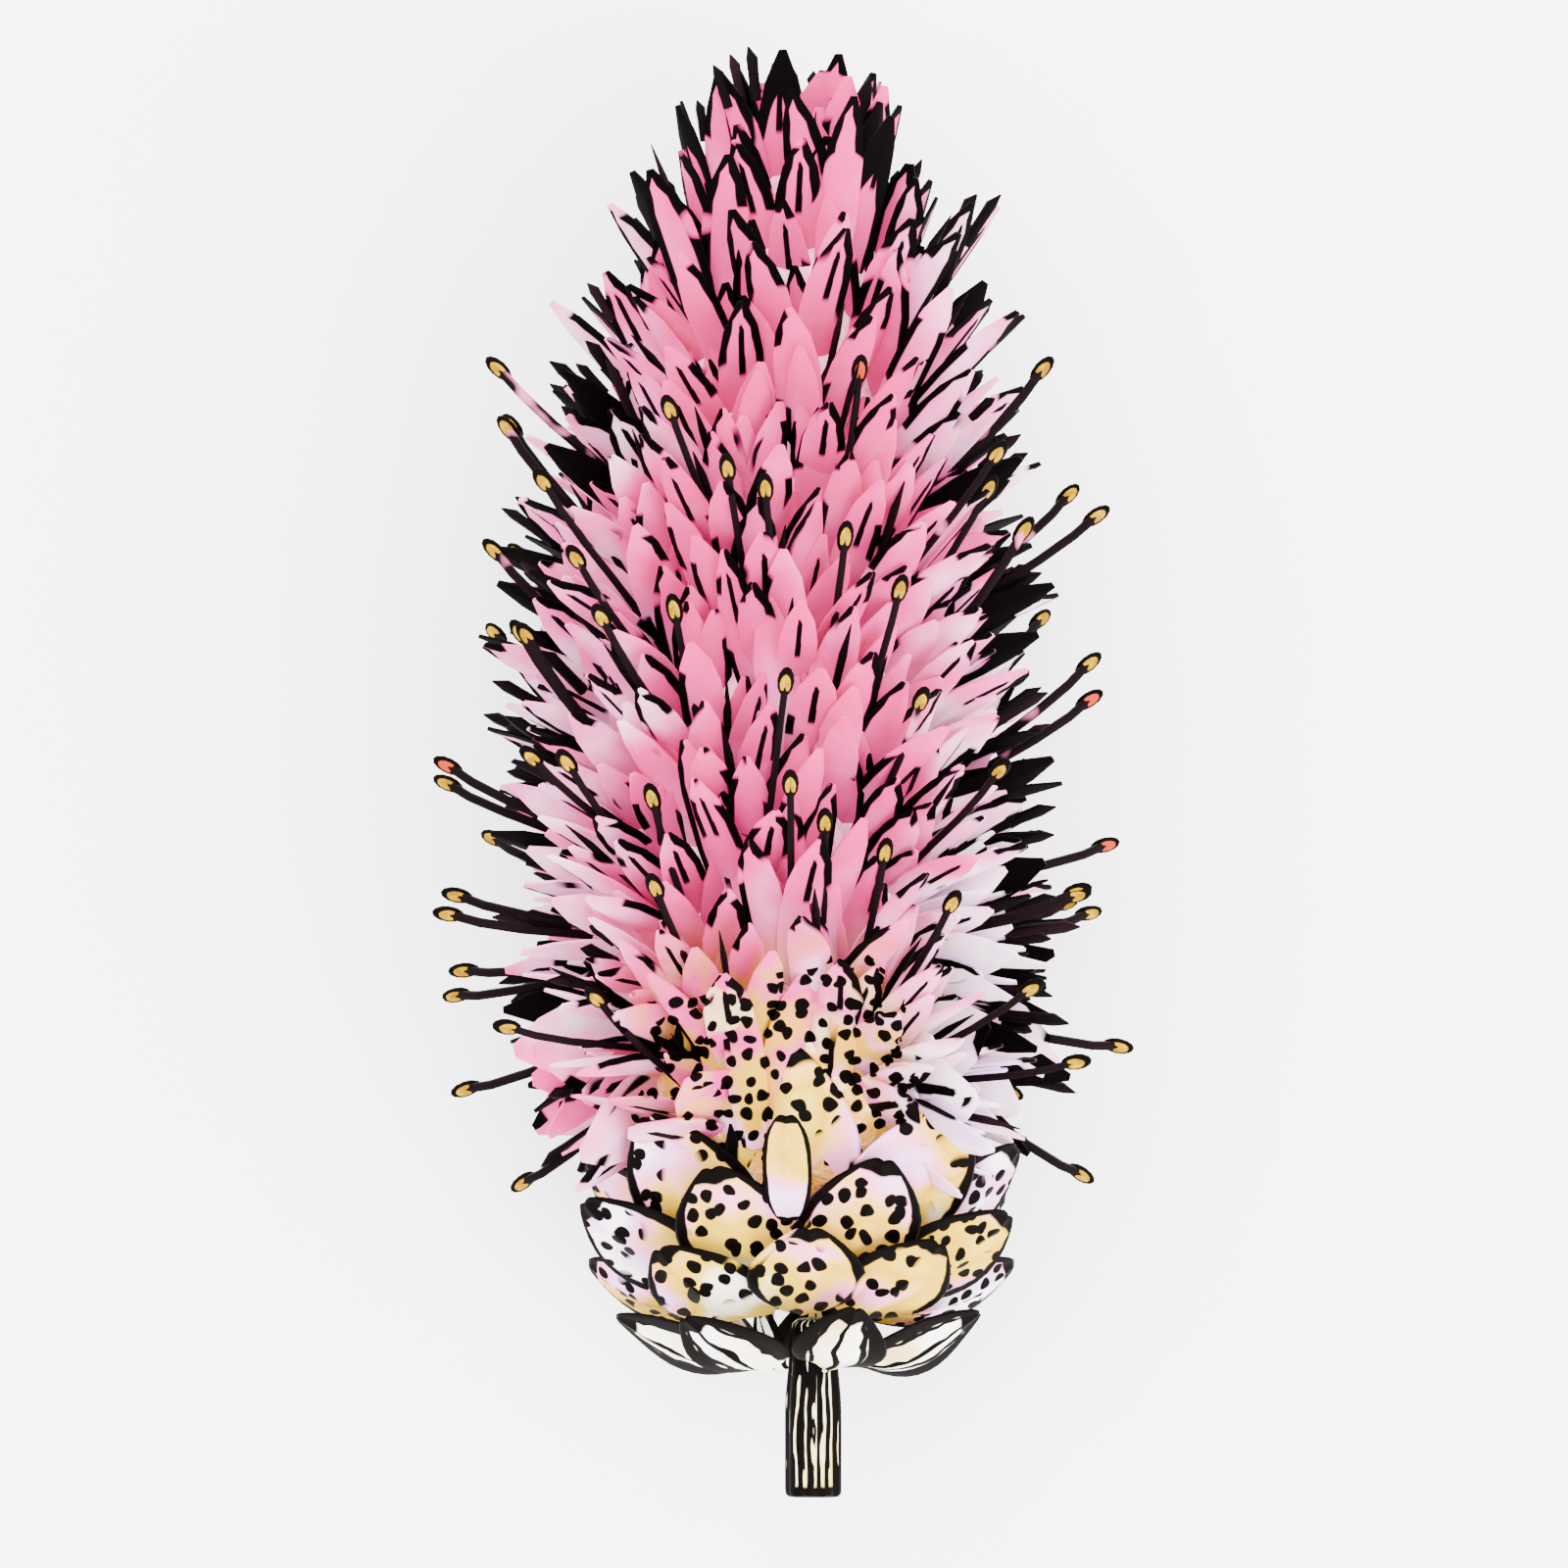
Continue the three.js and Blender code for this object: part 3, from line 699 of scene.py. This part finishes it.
# Tepals face outwards and up. A pair is a least share and its play.
TEPAL_TURN_PLAY = 0.12
TEPAL_FACING = 0.8
TEPAL_TURN = 0.9
HANGING = -0.2
TEPAL_REACH = (0.92, 0.14)
TEPAL_SPREAD = (0.85, 0.3)
TEPAL_WIDTH = (0.95, 0.3)
TEPAL_FLOOR = -1.3
TEPAL_CREASE = 80
FIRST_TUFT = 33
LOW_BREADTH = 1.9
# The tint that marks a dark tepal, the share of the outline's radius that they start at, and how many.
DARK = 2.0
DARK_FROM = 0.93
DARK_SHARE = 0.45
TEPAL_LENGTH = 13.0
TEPAL_COLUMNS = 2
TEPAL_KEEL = 0.28
TEPAL_WALL = 0.22
# The rows of a tepal, from its root to its tip: half the width and the lift. Two of the patterns sway.
TEPAL_ROWS = [(0.8, 0), (1.15, -0.15), (1.38, -0.3), (1.42, -0.38), (1.38, -0.3), (1.05, -0.1), (0.25, 0.2)]
TEPAL_SWAYS = (0, 0.22, -0.22)
SWAY_EASE = 12


def floret_places(first_turn, shrink, front_angle):
    """The florets of a spiral: where each is rooted and points, how long it is and how wide it opens."""
    places = []
    station = FIRST_FLORET
    index = 0
    while station < LAST_FLORET:
        outer = along(TIP_RADIUS, station)
        station += FLORET_AREA / (2 * math.pi * max(outer, LEAST_RADIUS))
        turn = index * GOLDEN_ANGLE + first_turn
        up = facing_up(turn)
        above_bracts = station - FIRST_FLORET - BARE_FRONT * up
        if above_bracts >= 0:
            radius = outer - FRONT_TUCK * up * max(0, 1 - above_bracts / TUCK_REACH)
            lean = along(FLORET_ANGLE, station) + FLORET_LEAN_PLAY * (draw(index, 1) - 0.5)
            angle = math.radians(lean + up * (min(lean, front_angle) - lean))
            d, under, side = leaning(angle, turn)
            tip_radius = radius - shrink + FLORET_RADIUS_PLAY * (draw(index, 2) - 0.5)
            length = min(FLORET_LENGTH, (radius + PAST_AXIS) / math.sin(angle))
            root = spike_point(station, tip_radius, turn) - d * length
            opening = CROWN_TIP * (CROWN_CLOSED + (1 - CROWN_CLOSED) * min(1, radius / FULL_CROWN))
            places.append((index, station, up, d, under, side, root, length, opening))
        index += 1
    return places


tepal_patterns = []
for number, tip_sway in enumerate(TEPAL_SWAYS):
    rows = [(half, tip_sway * row * row / SWAY_EASE, lift) for row, (half, lift) in enumerate(TEPAL_ROWS)]
    name = f"tepal_pattern_{number}"
    tepal_patterns.append(blade(name, TEPAL_LENGTH, TEPAL_COLUMNS, rows, TEPAL_KEEL, TEPAL_WALL))

spirals = [
    (floret_places(FIRST_TURN + turn, shrink, front_angle), first_index)
    for turn, shrink, front_angle, first_index in SPIRALS
]
copies = []
for order, (florets, first_index) in enumerate(spirals):
    for index, station, up, d, under, side, root, length, opening in florets:
        if order >= LARGE_SPIRALS and station > LAST_FILLED:
            continue
        for k in range(TEPALS):
            own = index * TEPALS + k
            number = first_index + own
            share = k + CROWN_TURN_PLAY * draw(index, 3) + TEPAL_TURN_PLAY * draw(own, 4)
            turn = share * 2 * math.pi / TEPALS
            outward = under * math.cos(turn) + side * math.sin(turn)
            to_light = Vector((0, 0, TEPAL_TURN if d.z > HANGING else 0))
            face = outward + under * TEPAL_FACING + to_light
            reach = length * vary(TEPAL_REACH, own, 5)
            spread = opening * vary(TEPAL_SPREAD, own, 6)
            foot = root + outward * CROWN_ROOT
            tip = root + d * reach + outward * spread
            run = tip - foot
            y = run.normalized()
            z = (face - y * face.dot(y)).normalized()
            x = y.cross(z)
            sideways = abs(tip.x - spike_point(station, 0, 0).x)
            at_outline = sideways > DARK_FROM * along(TIP_RADIUS, tip.y + SPIKE_LENGTH / 2)
            dark = at_outline and draw(number, 22) < DARK_SHARE
            breadth = LOW_BREADTH if station < FIRST_TUFT and not dark else 1
            wide = breadth * vary(TEPAL_WIDTH, number, 12)
            columns = (x * wide, run / TEPAL_LENGTH, z)
            pattern = tepal_patterns[int(len(tepal_patterns) * draw(number, 13))]
            tint = DARK if dark else draw(number, 14)
            copies.append(set_out(pattern, "tepal", columns, foot, tint, TEPAL_FLOOR, d))
tepals = grow_together(copies, "tepals", tepal_patterns, TEPAL_CREASE)

# Petal tissue: rose pink that runs from white to deep rose in soft washes, as watery blotches 3 to 13 mm
# across. It is thin and matt and lets some light through. Its rims and keels are near black.
SOFTLY = {"interpolation_type": "SMOOTHSTEP"}
petal, tree, output = new_finish("petal_tissue")
coordinates = put(tree, "TexCoord", {})
place = coordinates["Object"]
tint = put(tree, "Attribute", {}, attribute_name="tint")["Fac"]
across, run, _ = put(tree, "SeparateXYZ", {"Vector": coordinates["UV"]})
x, y, _ = put(tree, "SeparateXYZ", {"Vector": place})
off_axis = put(tree, "Math", {0: x}, operation="ABSOLUTE")[0]
off_middle = off_half(tree, across)
washes = put(tree, "TexNoise", {"Vector": place, "Scale": 75.0, "Detail": 2.0})["Fac"]
blotches = put(tree, "TexNoise", {"Vector": place, "Scale": 290.0, "Detail": 2.0})["Fac"]
broken = put(tree, "TexNoise", {"Vector": place, "Scale": 190.0, "Detail": 0.0})["Fac"]

# The pink is paler low on the head, most of all on its right. It is paler at both sides and at the root of
# each tepal. There it is partly the tissue's own pale colour and partly painted light that lifts the shade on
# tepals that face sideways and in the recesses between tepals.
low = put(
    tree, "MapRange", {"Value": y, "From Min": 0.012, "From Max": -0.024, "To Max": 0.24}, **SOFTLY
)["Result"]
to_right = put(tree, "MapRange", {"Value": x, "From Min": -0.004, "From Max": 0.01, "To Min": 0.2})["Result"]
low = put(tree, "Math", {0: low, 1: to_right}, operation="MULTIPLY")[0]
# Painted light, in part: the sides are lightened against the shade on tepals that face sideways.
pale_sides_and_painted_light = put(
    tree, "MapRange", {"Value": off_axis, "From Min": 0.004, "From Max": 0.013, "To Max": 0.36}, **SOFTLY
)["Result"]
# Painted light, in part: each tepal's root is lightened against the shade in the recesses between tepals.
pale_root_and_painted_light = put(tree, "MapRange", {"Value": run, "From Min": 0.75, "From Max": 0.2, "To Max": 0.32})["Result"]
tone = put(tree, "Math", {0: washes, 1: 1.25, 2: 0.2}, operation="MULTIPLY_ADD")[0]
tone = put(tree, "Math", {0: blotches, 1: 0.4, 2: tone}, operation="MULTIPLY_ADD")[0]
tone = put(tree, "Math", {0: tint, 1: 0.12, 2: tone}, operation="MULTIPLY_ADD")[0]
for paler in (low, pale_sides_and_painted_light, pale_root_and_painted_light):
    tone = put(tree, "Math", {0: tone, 1: paler}, operation="SUBTRACT")[0]
pink = put(
    tree,
    "ValToRGB",
    {"Fac": tone},
    stops=[
        (0.24, "#e4c6ee"), (0.42, "#fbeef8"), (0.6, "#f6b4da"),
        (0.75, "#ee76b6"), (0.88, "#e8509c"), (1.0, "#e03888"),
    ],
)["Color"]

# Over the cup, in the middle of the head, patches of cream and gold take the place of the pink.
near_cup = put(tree, "MapRange", {"Value": y, "From Min": -0.008, "From Max": -0.018}, **SOFTLY)["Result"]
near_middle = put(
    tree, "MapRange", {"Value": off_axis, "From Min": 0.013, "From Max": 0.005}, **SOFTLY
)["Result"]
cream_zone = where_all(tree, near_cup, near_middle)
patches = put(tree, "ValToRGB", {"Fac": blotches}, stops=[(0.42, 0.0), (0.56, 1.0)])["Color"]
cream_share = where_all(tree, cream_zone, patches)
cream = put(
    tree, "ValToRGB", {"Fac": tint}, stops=[(0.2, "#dcac20"), (0.5, "#e8a04e"), (0.8, "#f2d49c")]
)["Color"]
washed = put(tree, "Mix", {"Factor": cream_share, 6: pink, 7: cream}, data_type="RGBA")[2]

# The rim is a line 0.3 to 0.5 mm wide that closes up at each tepal's tip, and is broader high on the head.
rim_width = put(
    tree, "ValToRGB", {"Fac": run}, stops=[(0.0, 0.18), (0.4, 0.17), (0.75, 0.19), (0.9, 0.26), (0.965, 0.5)]
)["Color"]
high = put(
    tree, "MapRange", {"Value": y, "From Min": 0.026, "From Max": 0.044, "To Max": 0.12}, **SOFTLY
)["Result"]
rim_width = put(tree, "Math", {0: high, 1: 0.4, 2: rim_width}, operation="MULTIPLY_ADD")[0]
to_edge = put(tree, "Math", {0: 0.5, 1: off_middle}, operation="SUBTRACT")[0]
rim_left = put(tree, "Math", {0: rim_width, 1: to_edge}, operation="SUBTRACT")[0]
rim = put(tree, "MapRange", {"Value": rim_left, "From Min": -0.01, "From Max": 0.02})["Result"]

# It comes and goes. There is less of it low on the head and, below the tip, on one half of each tepal, and
# more of it high up and on the right.
left_half = put(tree, "Math", {0: across, 1: 0.5}, operation="LESS_THAN")[0]
inked_half = put(tree, "Math", {0: tint, 1: 0.5}, operation="LESS_THAN")[0]
unlike = put(tree, "Math", {0: left_half, 1: inked_half}, operation="SUBTRACT")[0]
plain_half = put(tree, "Math", {0: unlike}, operation="ABSOLUTE")[0]
below_tip = put(
    tree, "MapRange", {"Value": y, "From Min": 0.046, "From Max": 0.034, "To Max": 0.14}
)["Result"]
quiet = put(tree, "MapRange", {"Value": y, "From Min": -0.004, "From Max": -0.014, "To Max": 0.08})["Result"]
held_back = put(tree, "Math", {0: plain_half, 1: below_tip, 2: quiet}, operation="MULTIPLY_ADD")[0]
presence = put(tree, "Math", {0: broken, 1: high}, operation="ADD")[0]
presence = put(tree, "Math", {0: presence, 1: held_back}, operation="SUBTRACT")[0]
on_right = put(tree, "MapRange", {"Value": x, "From Min": 0.006, "From Max": 0.012})["Result"]
more = put(tree, "MapRange", {"Value": y, "From Min": -0.01, "From Max": -0.002, "To Max": 0.07})["Result"]
presence = put(tree, "Math", {0: on_right, 1: more, 2: presence}, operation="MULTIPLY_ADD")[0]
drawn = put(tree, "ValToRGB", {"Fac": presence}, stops=[(0.47, 0.0), (0.5, 1.0)])["Color"]
rim_ink = where_all(tree, rim, drawn)

# Some tepals have a stroke on the upper part of the keel, and the dark ones are dark from the tip down.
keel = put(tree, "MapRange", {"Value": off_middle, "From Min": 0.085, "From Max": 0.065})["Result"]
keel_reach = put(
    tree, "ValToRGB", {"Fac": run}, stops=[(0.55, 0.0), (0.58, 1.0), (0.86, 1.0), (0.88, 0.0)]
)["Color"]
keel_some = put(tree, "Math", {0: tint, 1: 0.7}, operation="GREATER_THAN")[0]
keel_ink = where_all(tree, keel, keel_reach, keel_some)
dark_one = put(tree, "Math", {0: tint, 1: DARK - 0.5}, operation="GREATER_THAN")[0]
dark_run = put(tree, "Math", {0: off_middle, 1: 0.7, 2: run}, operation="MULTIPLY_ADD")[0]
dark_run = put(tree, "Math", {0: broken, 1: 0.5, 2: dark_run}, operation="MULTIPLY_ADD")[0]
dark_part = put(tree, "MapRange", {"Value": dark_run, "From Min": 0.93, "From Max": 0.95})["Result"]
dark_ink = where_all(tree, dark_one, dark_part)

# A few dots stray from the cup into the cream.
dot = dots_on(tree, place, 760.0)
dot_zone = put(tree, "Math", {0: cream_zone, 1: 0.62}, operation="MULTIPLY")[0]
dot_some = put(tree, "Math", {0: broken, 1: dot_zone}, operation="ADD")[0]
dot_there = put(tree, "Math", {0: dot_some, 1: 0.86}, operation="GREATER_THAN")[0]
ink = where_any(tree, rim_ink, keel_ink, dark_ink, where_all(tree, dot, dot_there))
lined = put(tree, "Mix", {"Factor": ink, 6: washed, 7: NEAR_BLACK}, data_type="RGBA")[2]
surface = put(tree, "BsdfPrincipled", {"Base Color": lined, **PLANT_SKIN})["BSDF"]
glow = put(tree, "BsdfTranslucent", {"Color": lined})["BSDF"]
thin = put(tree, "MixShader", {"Fac": 0.38, 1: surface, 2: glow})["Shader"]
cover(tepals, petal, output, thin)
hand_over(tepals, "pink_flower_head")

# Bristles
# Stiff dark hairs that stand among the tepals: tapered spikes that swell and bend a little past the middle.
# One comes with each floret of the two large spirals, rooted in the woolly core, and three with each at the
# sides of the head, where they are thicker and start far out between the tepals.
BRISTLE_LENGTH = 13.0
BRISTLE_SIDES = 6
BRISTLE_ROOT_RADIUS = 0.26
BRISTLE_TIP_RADIUS = 0.04
BRISTLE_RINGS = ((0.5, 1.7, 0.06), (0.78, 2.1, 0.04))
SIDE_BRISTLES = 3
AT_SIDE = 0.25
SPLAY = (0.12, 0.22)
START_AT_SIDE = 0.78
START_ON_TOP = 0.2
BRISTLE_REACH = 0.94
BRISTLE_REACH_PLAY = 0.24
THICK_AT_SIDE = (1.35, 0.4)
THICK_ON_TOP = (0.8, 0.4)
BRISTLE_FLOOR = 0.6


def ring_across(piece, reach):
    """Cuts a piece that runs along +Y across at a reach, in millimetres, and selects the new ring."""
    bpy.ops.mesh.select_all(action="SELECT")
    bpy.ops.mesh.bisect(plane_co=(0, reach * MM, 0), plane_no=(0, 1, 0))
    pick_row(piece, reach)


def splayed(d, under, side, splay, swing):
    """A direction beside d: out from it by a splay, at a swing round it."""
    return (d + under * splay * math.cos(swing) + side * splay * math.sin(swing)).normalized()


bpy.ops.mesh.primitive_cone_add(
    vertices=BRISTLE_SIDES,
    radius1=BRISTLE_ROOT_RADIUS * MM,
    radius2=BRISTLE_TIP_RADIUS * MM,
    depth=BRISTLE_LENGTH * MM,
    location=(0, BRISTLE_LENGTH / 2 * MM, 0),
    rotation=(-math.pi / 2, 0, 0),
)
bristle_pattern = begin("bristle_pattern")
for share, swell, sway in BRISTLE_RINGS:
    reach = BRISTLE_LENGTH * share
    ring_across(bristle_pattern, reach)
    bpy.ops.transform.resize(value=(swell, 1, swell), center_override=(0, reach * MM, 0))
    bpy.ops.transform.translate(value=(0, 0, -sway * MM))
bpy.ops.object.mode_set(mode="OBJECT")

copies = []
for florets, first_index in spirals[:LARGE_SPIRALS]:
    for index, station, up, d, under, side, root, length, opening in florets:
        at_side = up < AT_SIDE
        for k in range(SIDE_BRISTLES if at_side and station > FIRST_TUFT else 1):
            number = first_index + index * SIDE_BRISTLES + k
            swing = 2 * math.pi * draw(number, 15)
            y = splayed(d, under, side, vary(SPLAY, number, 16), swing)
            z = (under - y * under.dot(y)).normalized()
            start = length * (START_AT_SIDE if at_side else START_ON_TOP)
            play = BRISTLE_REACH_PLAY * draw(number, 17) * min(1, opening / CROWN_TIP)
            reach = length * (BRISTLE_REACH + play) - start
            thick = vary(THICK_AT_SIDE if at_side else THICK_ON_TOP, number, 18)
            columns = (y.cross(z) * thick, y * reach / BRISTLE_LENGTH, z * thick)
            foot = root + y * start
            tint = draw(number, 19)
            copies.append(set_out(bristle_pattern, "bristle", columns, foot, tint, BRISTLE_FLOOR, d))
bristles = grow_together(copies, "bristles", [bristle_pattern])

# Stiff plant hair: near black and matt, with a plum cast on a few.
hair, tree, output = new_finish("stiff_plant_hair")
tint = put(tree, "Attribute", {}, attribute_name="tint")["Fac"]
shade = put(
    tree, "ValToRGB", {"Fac": tint}, stops=[(0.0, "#040202"), (0.85, "#070304"), (1.0, "#16080d")]
)["Color"]
surface = put(tree, "BsdfPrincipled", {"Base Color": shade, **PLANT_SKIN})["BSDF"]
cover(bristles, hair, output, surface)
hand_over(bristles, "pink_flower_head")

# Stamens
# One or two from each floret below the head's tip: a thread that stands out past the tepals, and on its end
# an anther of two yellow pollen sacs, dark round the rim. The second spiral has them only where it faces up.
LAST_STAMEN = 79
STAMEN_REACH = 6.2
STAMEN_STRETCH = (0.75, 0.45)
STAMEN_SPLAY = 0.16
STAMEN_FLOOR = 0.55
STAMEN_FACING = 0.25
SECOND_FROM = 0.55
SPIRAL_NUMBERS = 300
PAIR_NUMBERS = 1000
LOW_DOWN = 0.3
FACING_FRONT = 0.4
THREAD_LENGTH = 16.0
THREAD_SIDES = 6
THREAD_RADIUS = 0.22
THREAD_RINGS = ((0.45, 0.45), (0.7, 0.6), (0.88, 0.35))
THREAD_START = 1.5
THICK_LOW = 1.6
THICK_HIGH = 1.25
# The thread ends in the middle of its anther, and that is this far short of the stamen's whole reach.
ANTHER_MIDDLE = 1.0
ANTHER_SIDES = 12
ANTHER_RINGS = 8
ANTHER_SHAPE = (0.58, 1.2, 0.46)
GROOVE_FROM = 0.2
ANTHER_GROOVE = 0.72
bpy.ops.mesh.primitive_cylinder_add(
    vertices=THREAD_SIDES,
    radius=THREAD_RADIUS * MM,
    depth=THREAD_LENGTH * MM,
    location=(0, THREAD_LENGTH / 2 * MM, 0),
    rotation=(-math.pi / 2, 0, 0),
)
thread_pattern = begin("thread_pattern")
for share, sway in THREAD_RINGS:
    ring_across(thread_pattern, THREAD_LENGTH * share)
    bpy.ops.transform.translate(value=(0, 0, sway * MM))
bpy.ops.object.mode_set(mode="OBJECT")

# The anther starts as a ball 1 mm in radius, and a groove down both its faces parts the two sacs.
bpy.ops.mesh.primitive_uv_sphere_add(segments=ANTHER_SIDES, ring_count=ANTHER_RINGS, radius=MM)
anther_pattern = begin("anther_pattern")
bpy.ops.mesh.select_all(action="SELECT")
bpy.ops.transform.resize(value=ANTHER_SHAPE)
pick(anther_pattern, lambda co: abs(co.x) < ROW_REACH and abs(co.z) > GROOVE_FROM)
bpy.ops.transform.resize(value=(1, 1, ANTHER_GROOVE))
bpy.ops.object.mode_set(mode="OBJECT")

threads = []
anthers = []
for order, (florets, _) in enumerate(spirals[:LARGE_SPIRALS]):
    for index, station, up, d, under, side, root, length, _ in florets:
        if station > LAST_STAMEN or (order and up < FACING_FRONT):
            continue
        number = index + SPIRAL_NUMBERS * order
        low_down = up < LOW_DOWN
        for k in range(2 if low_down and draw(index, 11) > SECOND_FROM else 1):
            y = splayed(d, under, side, STAMEN_SPLAY, 2 * math.pi * draw(number, 7 + k))
            reach = length + STAMEN_REACH * vary(STAMEN_STRETCH, number, 9 + k)
            facing = under * STAMEN_FACING + Vector((0, 0, 1))
            z = (facing - y * facing.dot(y)).normalized()
            x = y.cross(z)
            tint = draw(number + PAIR_NUMBERS * k, 20)
            foot = root + y * THREAD_START
            long = (reach - THREAD_START - ANTHER_MIDDLE) / THREAD_LENGTH
            thick = THICK_LOW if low_down else THICK_HIGH
            columns = (x * thick, y * long, z * thick)
            threads.append(set_out(thread_pattern, "thread", columns, foot, tint, STAMEN_FLOOR, y))
            head = root + y * (reach - ANTHER_MIDDLE)
            anthers.append(set_out(anther_pattern, "anther", (x, y, z), head, tint, STAMEN_FLOOR, y))
threads = grow_together(threads, "stamen_threads", [thread_pattern])
anthers = grow_together(anthers, "anthers", [anther_pattern])

# Stamen thread: smooth and near black, with short stretches of rose where it is clear.
thread_skin, tree, output = new_finish("stamen_thread")
place = put(tree, "TexCoord", {})["Object"]
stretch = put(tree, "TexNoise", {"Vector": place, "Scale": 260.0, "Detail": 1.0})["Fac"]
shade = put(tree, "ValToRGB", {"Fac": stretch}, stops=[(0.66, "#0a0406"), (0.74, "#b25f80")])["Color"]
surface = put(tree, "BsdfPrincipled", {"Base Color": shade, **PLANT_SKIN})["BSDF"]
cover(threads, thread_skin, output, surface)
hand_over(threads, "pink_flower_head")

# Pollen sacs: powdery golden yellow on both broad faces, coral on a few, with a near black rim 0.3 mm wide
# round them. The powder is dull and its grains show as a faint mottle.
pollen, tree, output = new_finish("pollen_sac")
coordinates = put(tree, "TexCoord", {})
tint = put(tree, "Attribute", {}, attribute_name="tint")["Fac"]
_, height, _ = put(tree, "SeparateXYZ", {"Vector": coordinates["UV"]})
off_rim = off_half(tree, height)
rim = put(tree, "MapRange", {"Value": off_rim, "From Min": 0.29, "From Max": 0.27})["Result"]
grains = put(tree, "TexNoise", {"Vector": coordinates["Object"], "Scale": 1500.0, "Detail": 1.0})["Fac"]
golden = put(tree, "ValToRGB", {"Fac": grains}, stops=[(0.35, "#7c5800"), (0.65, "#a07e00")])["Color"]
coral = linear("#96341c")
coral_ones = put(tree, "Math", {0: tint, 1: 0.87}, operation="GREATER_THAN")[0]
powder = put(tree, "Mix", {"Factor": coral_ones, 6: golden, 7: coral}, data_type="RGBA")[2]
lined = put(tree, "Mix", {"Factor": rim, 6: powder, 7: NEAR_BLACK}, data_type="RGBA")[2]
surface = put(
    tree, "BsdfPrincipled", {"Base Color": lined, "Roughness": 0.7, "Specular IOR Level": 0.02}
)["BSDF"]
cover(anthers, pollen, output, surface)
hand_over(anthers, "pink_flower_head")
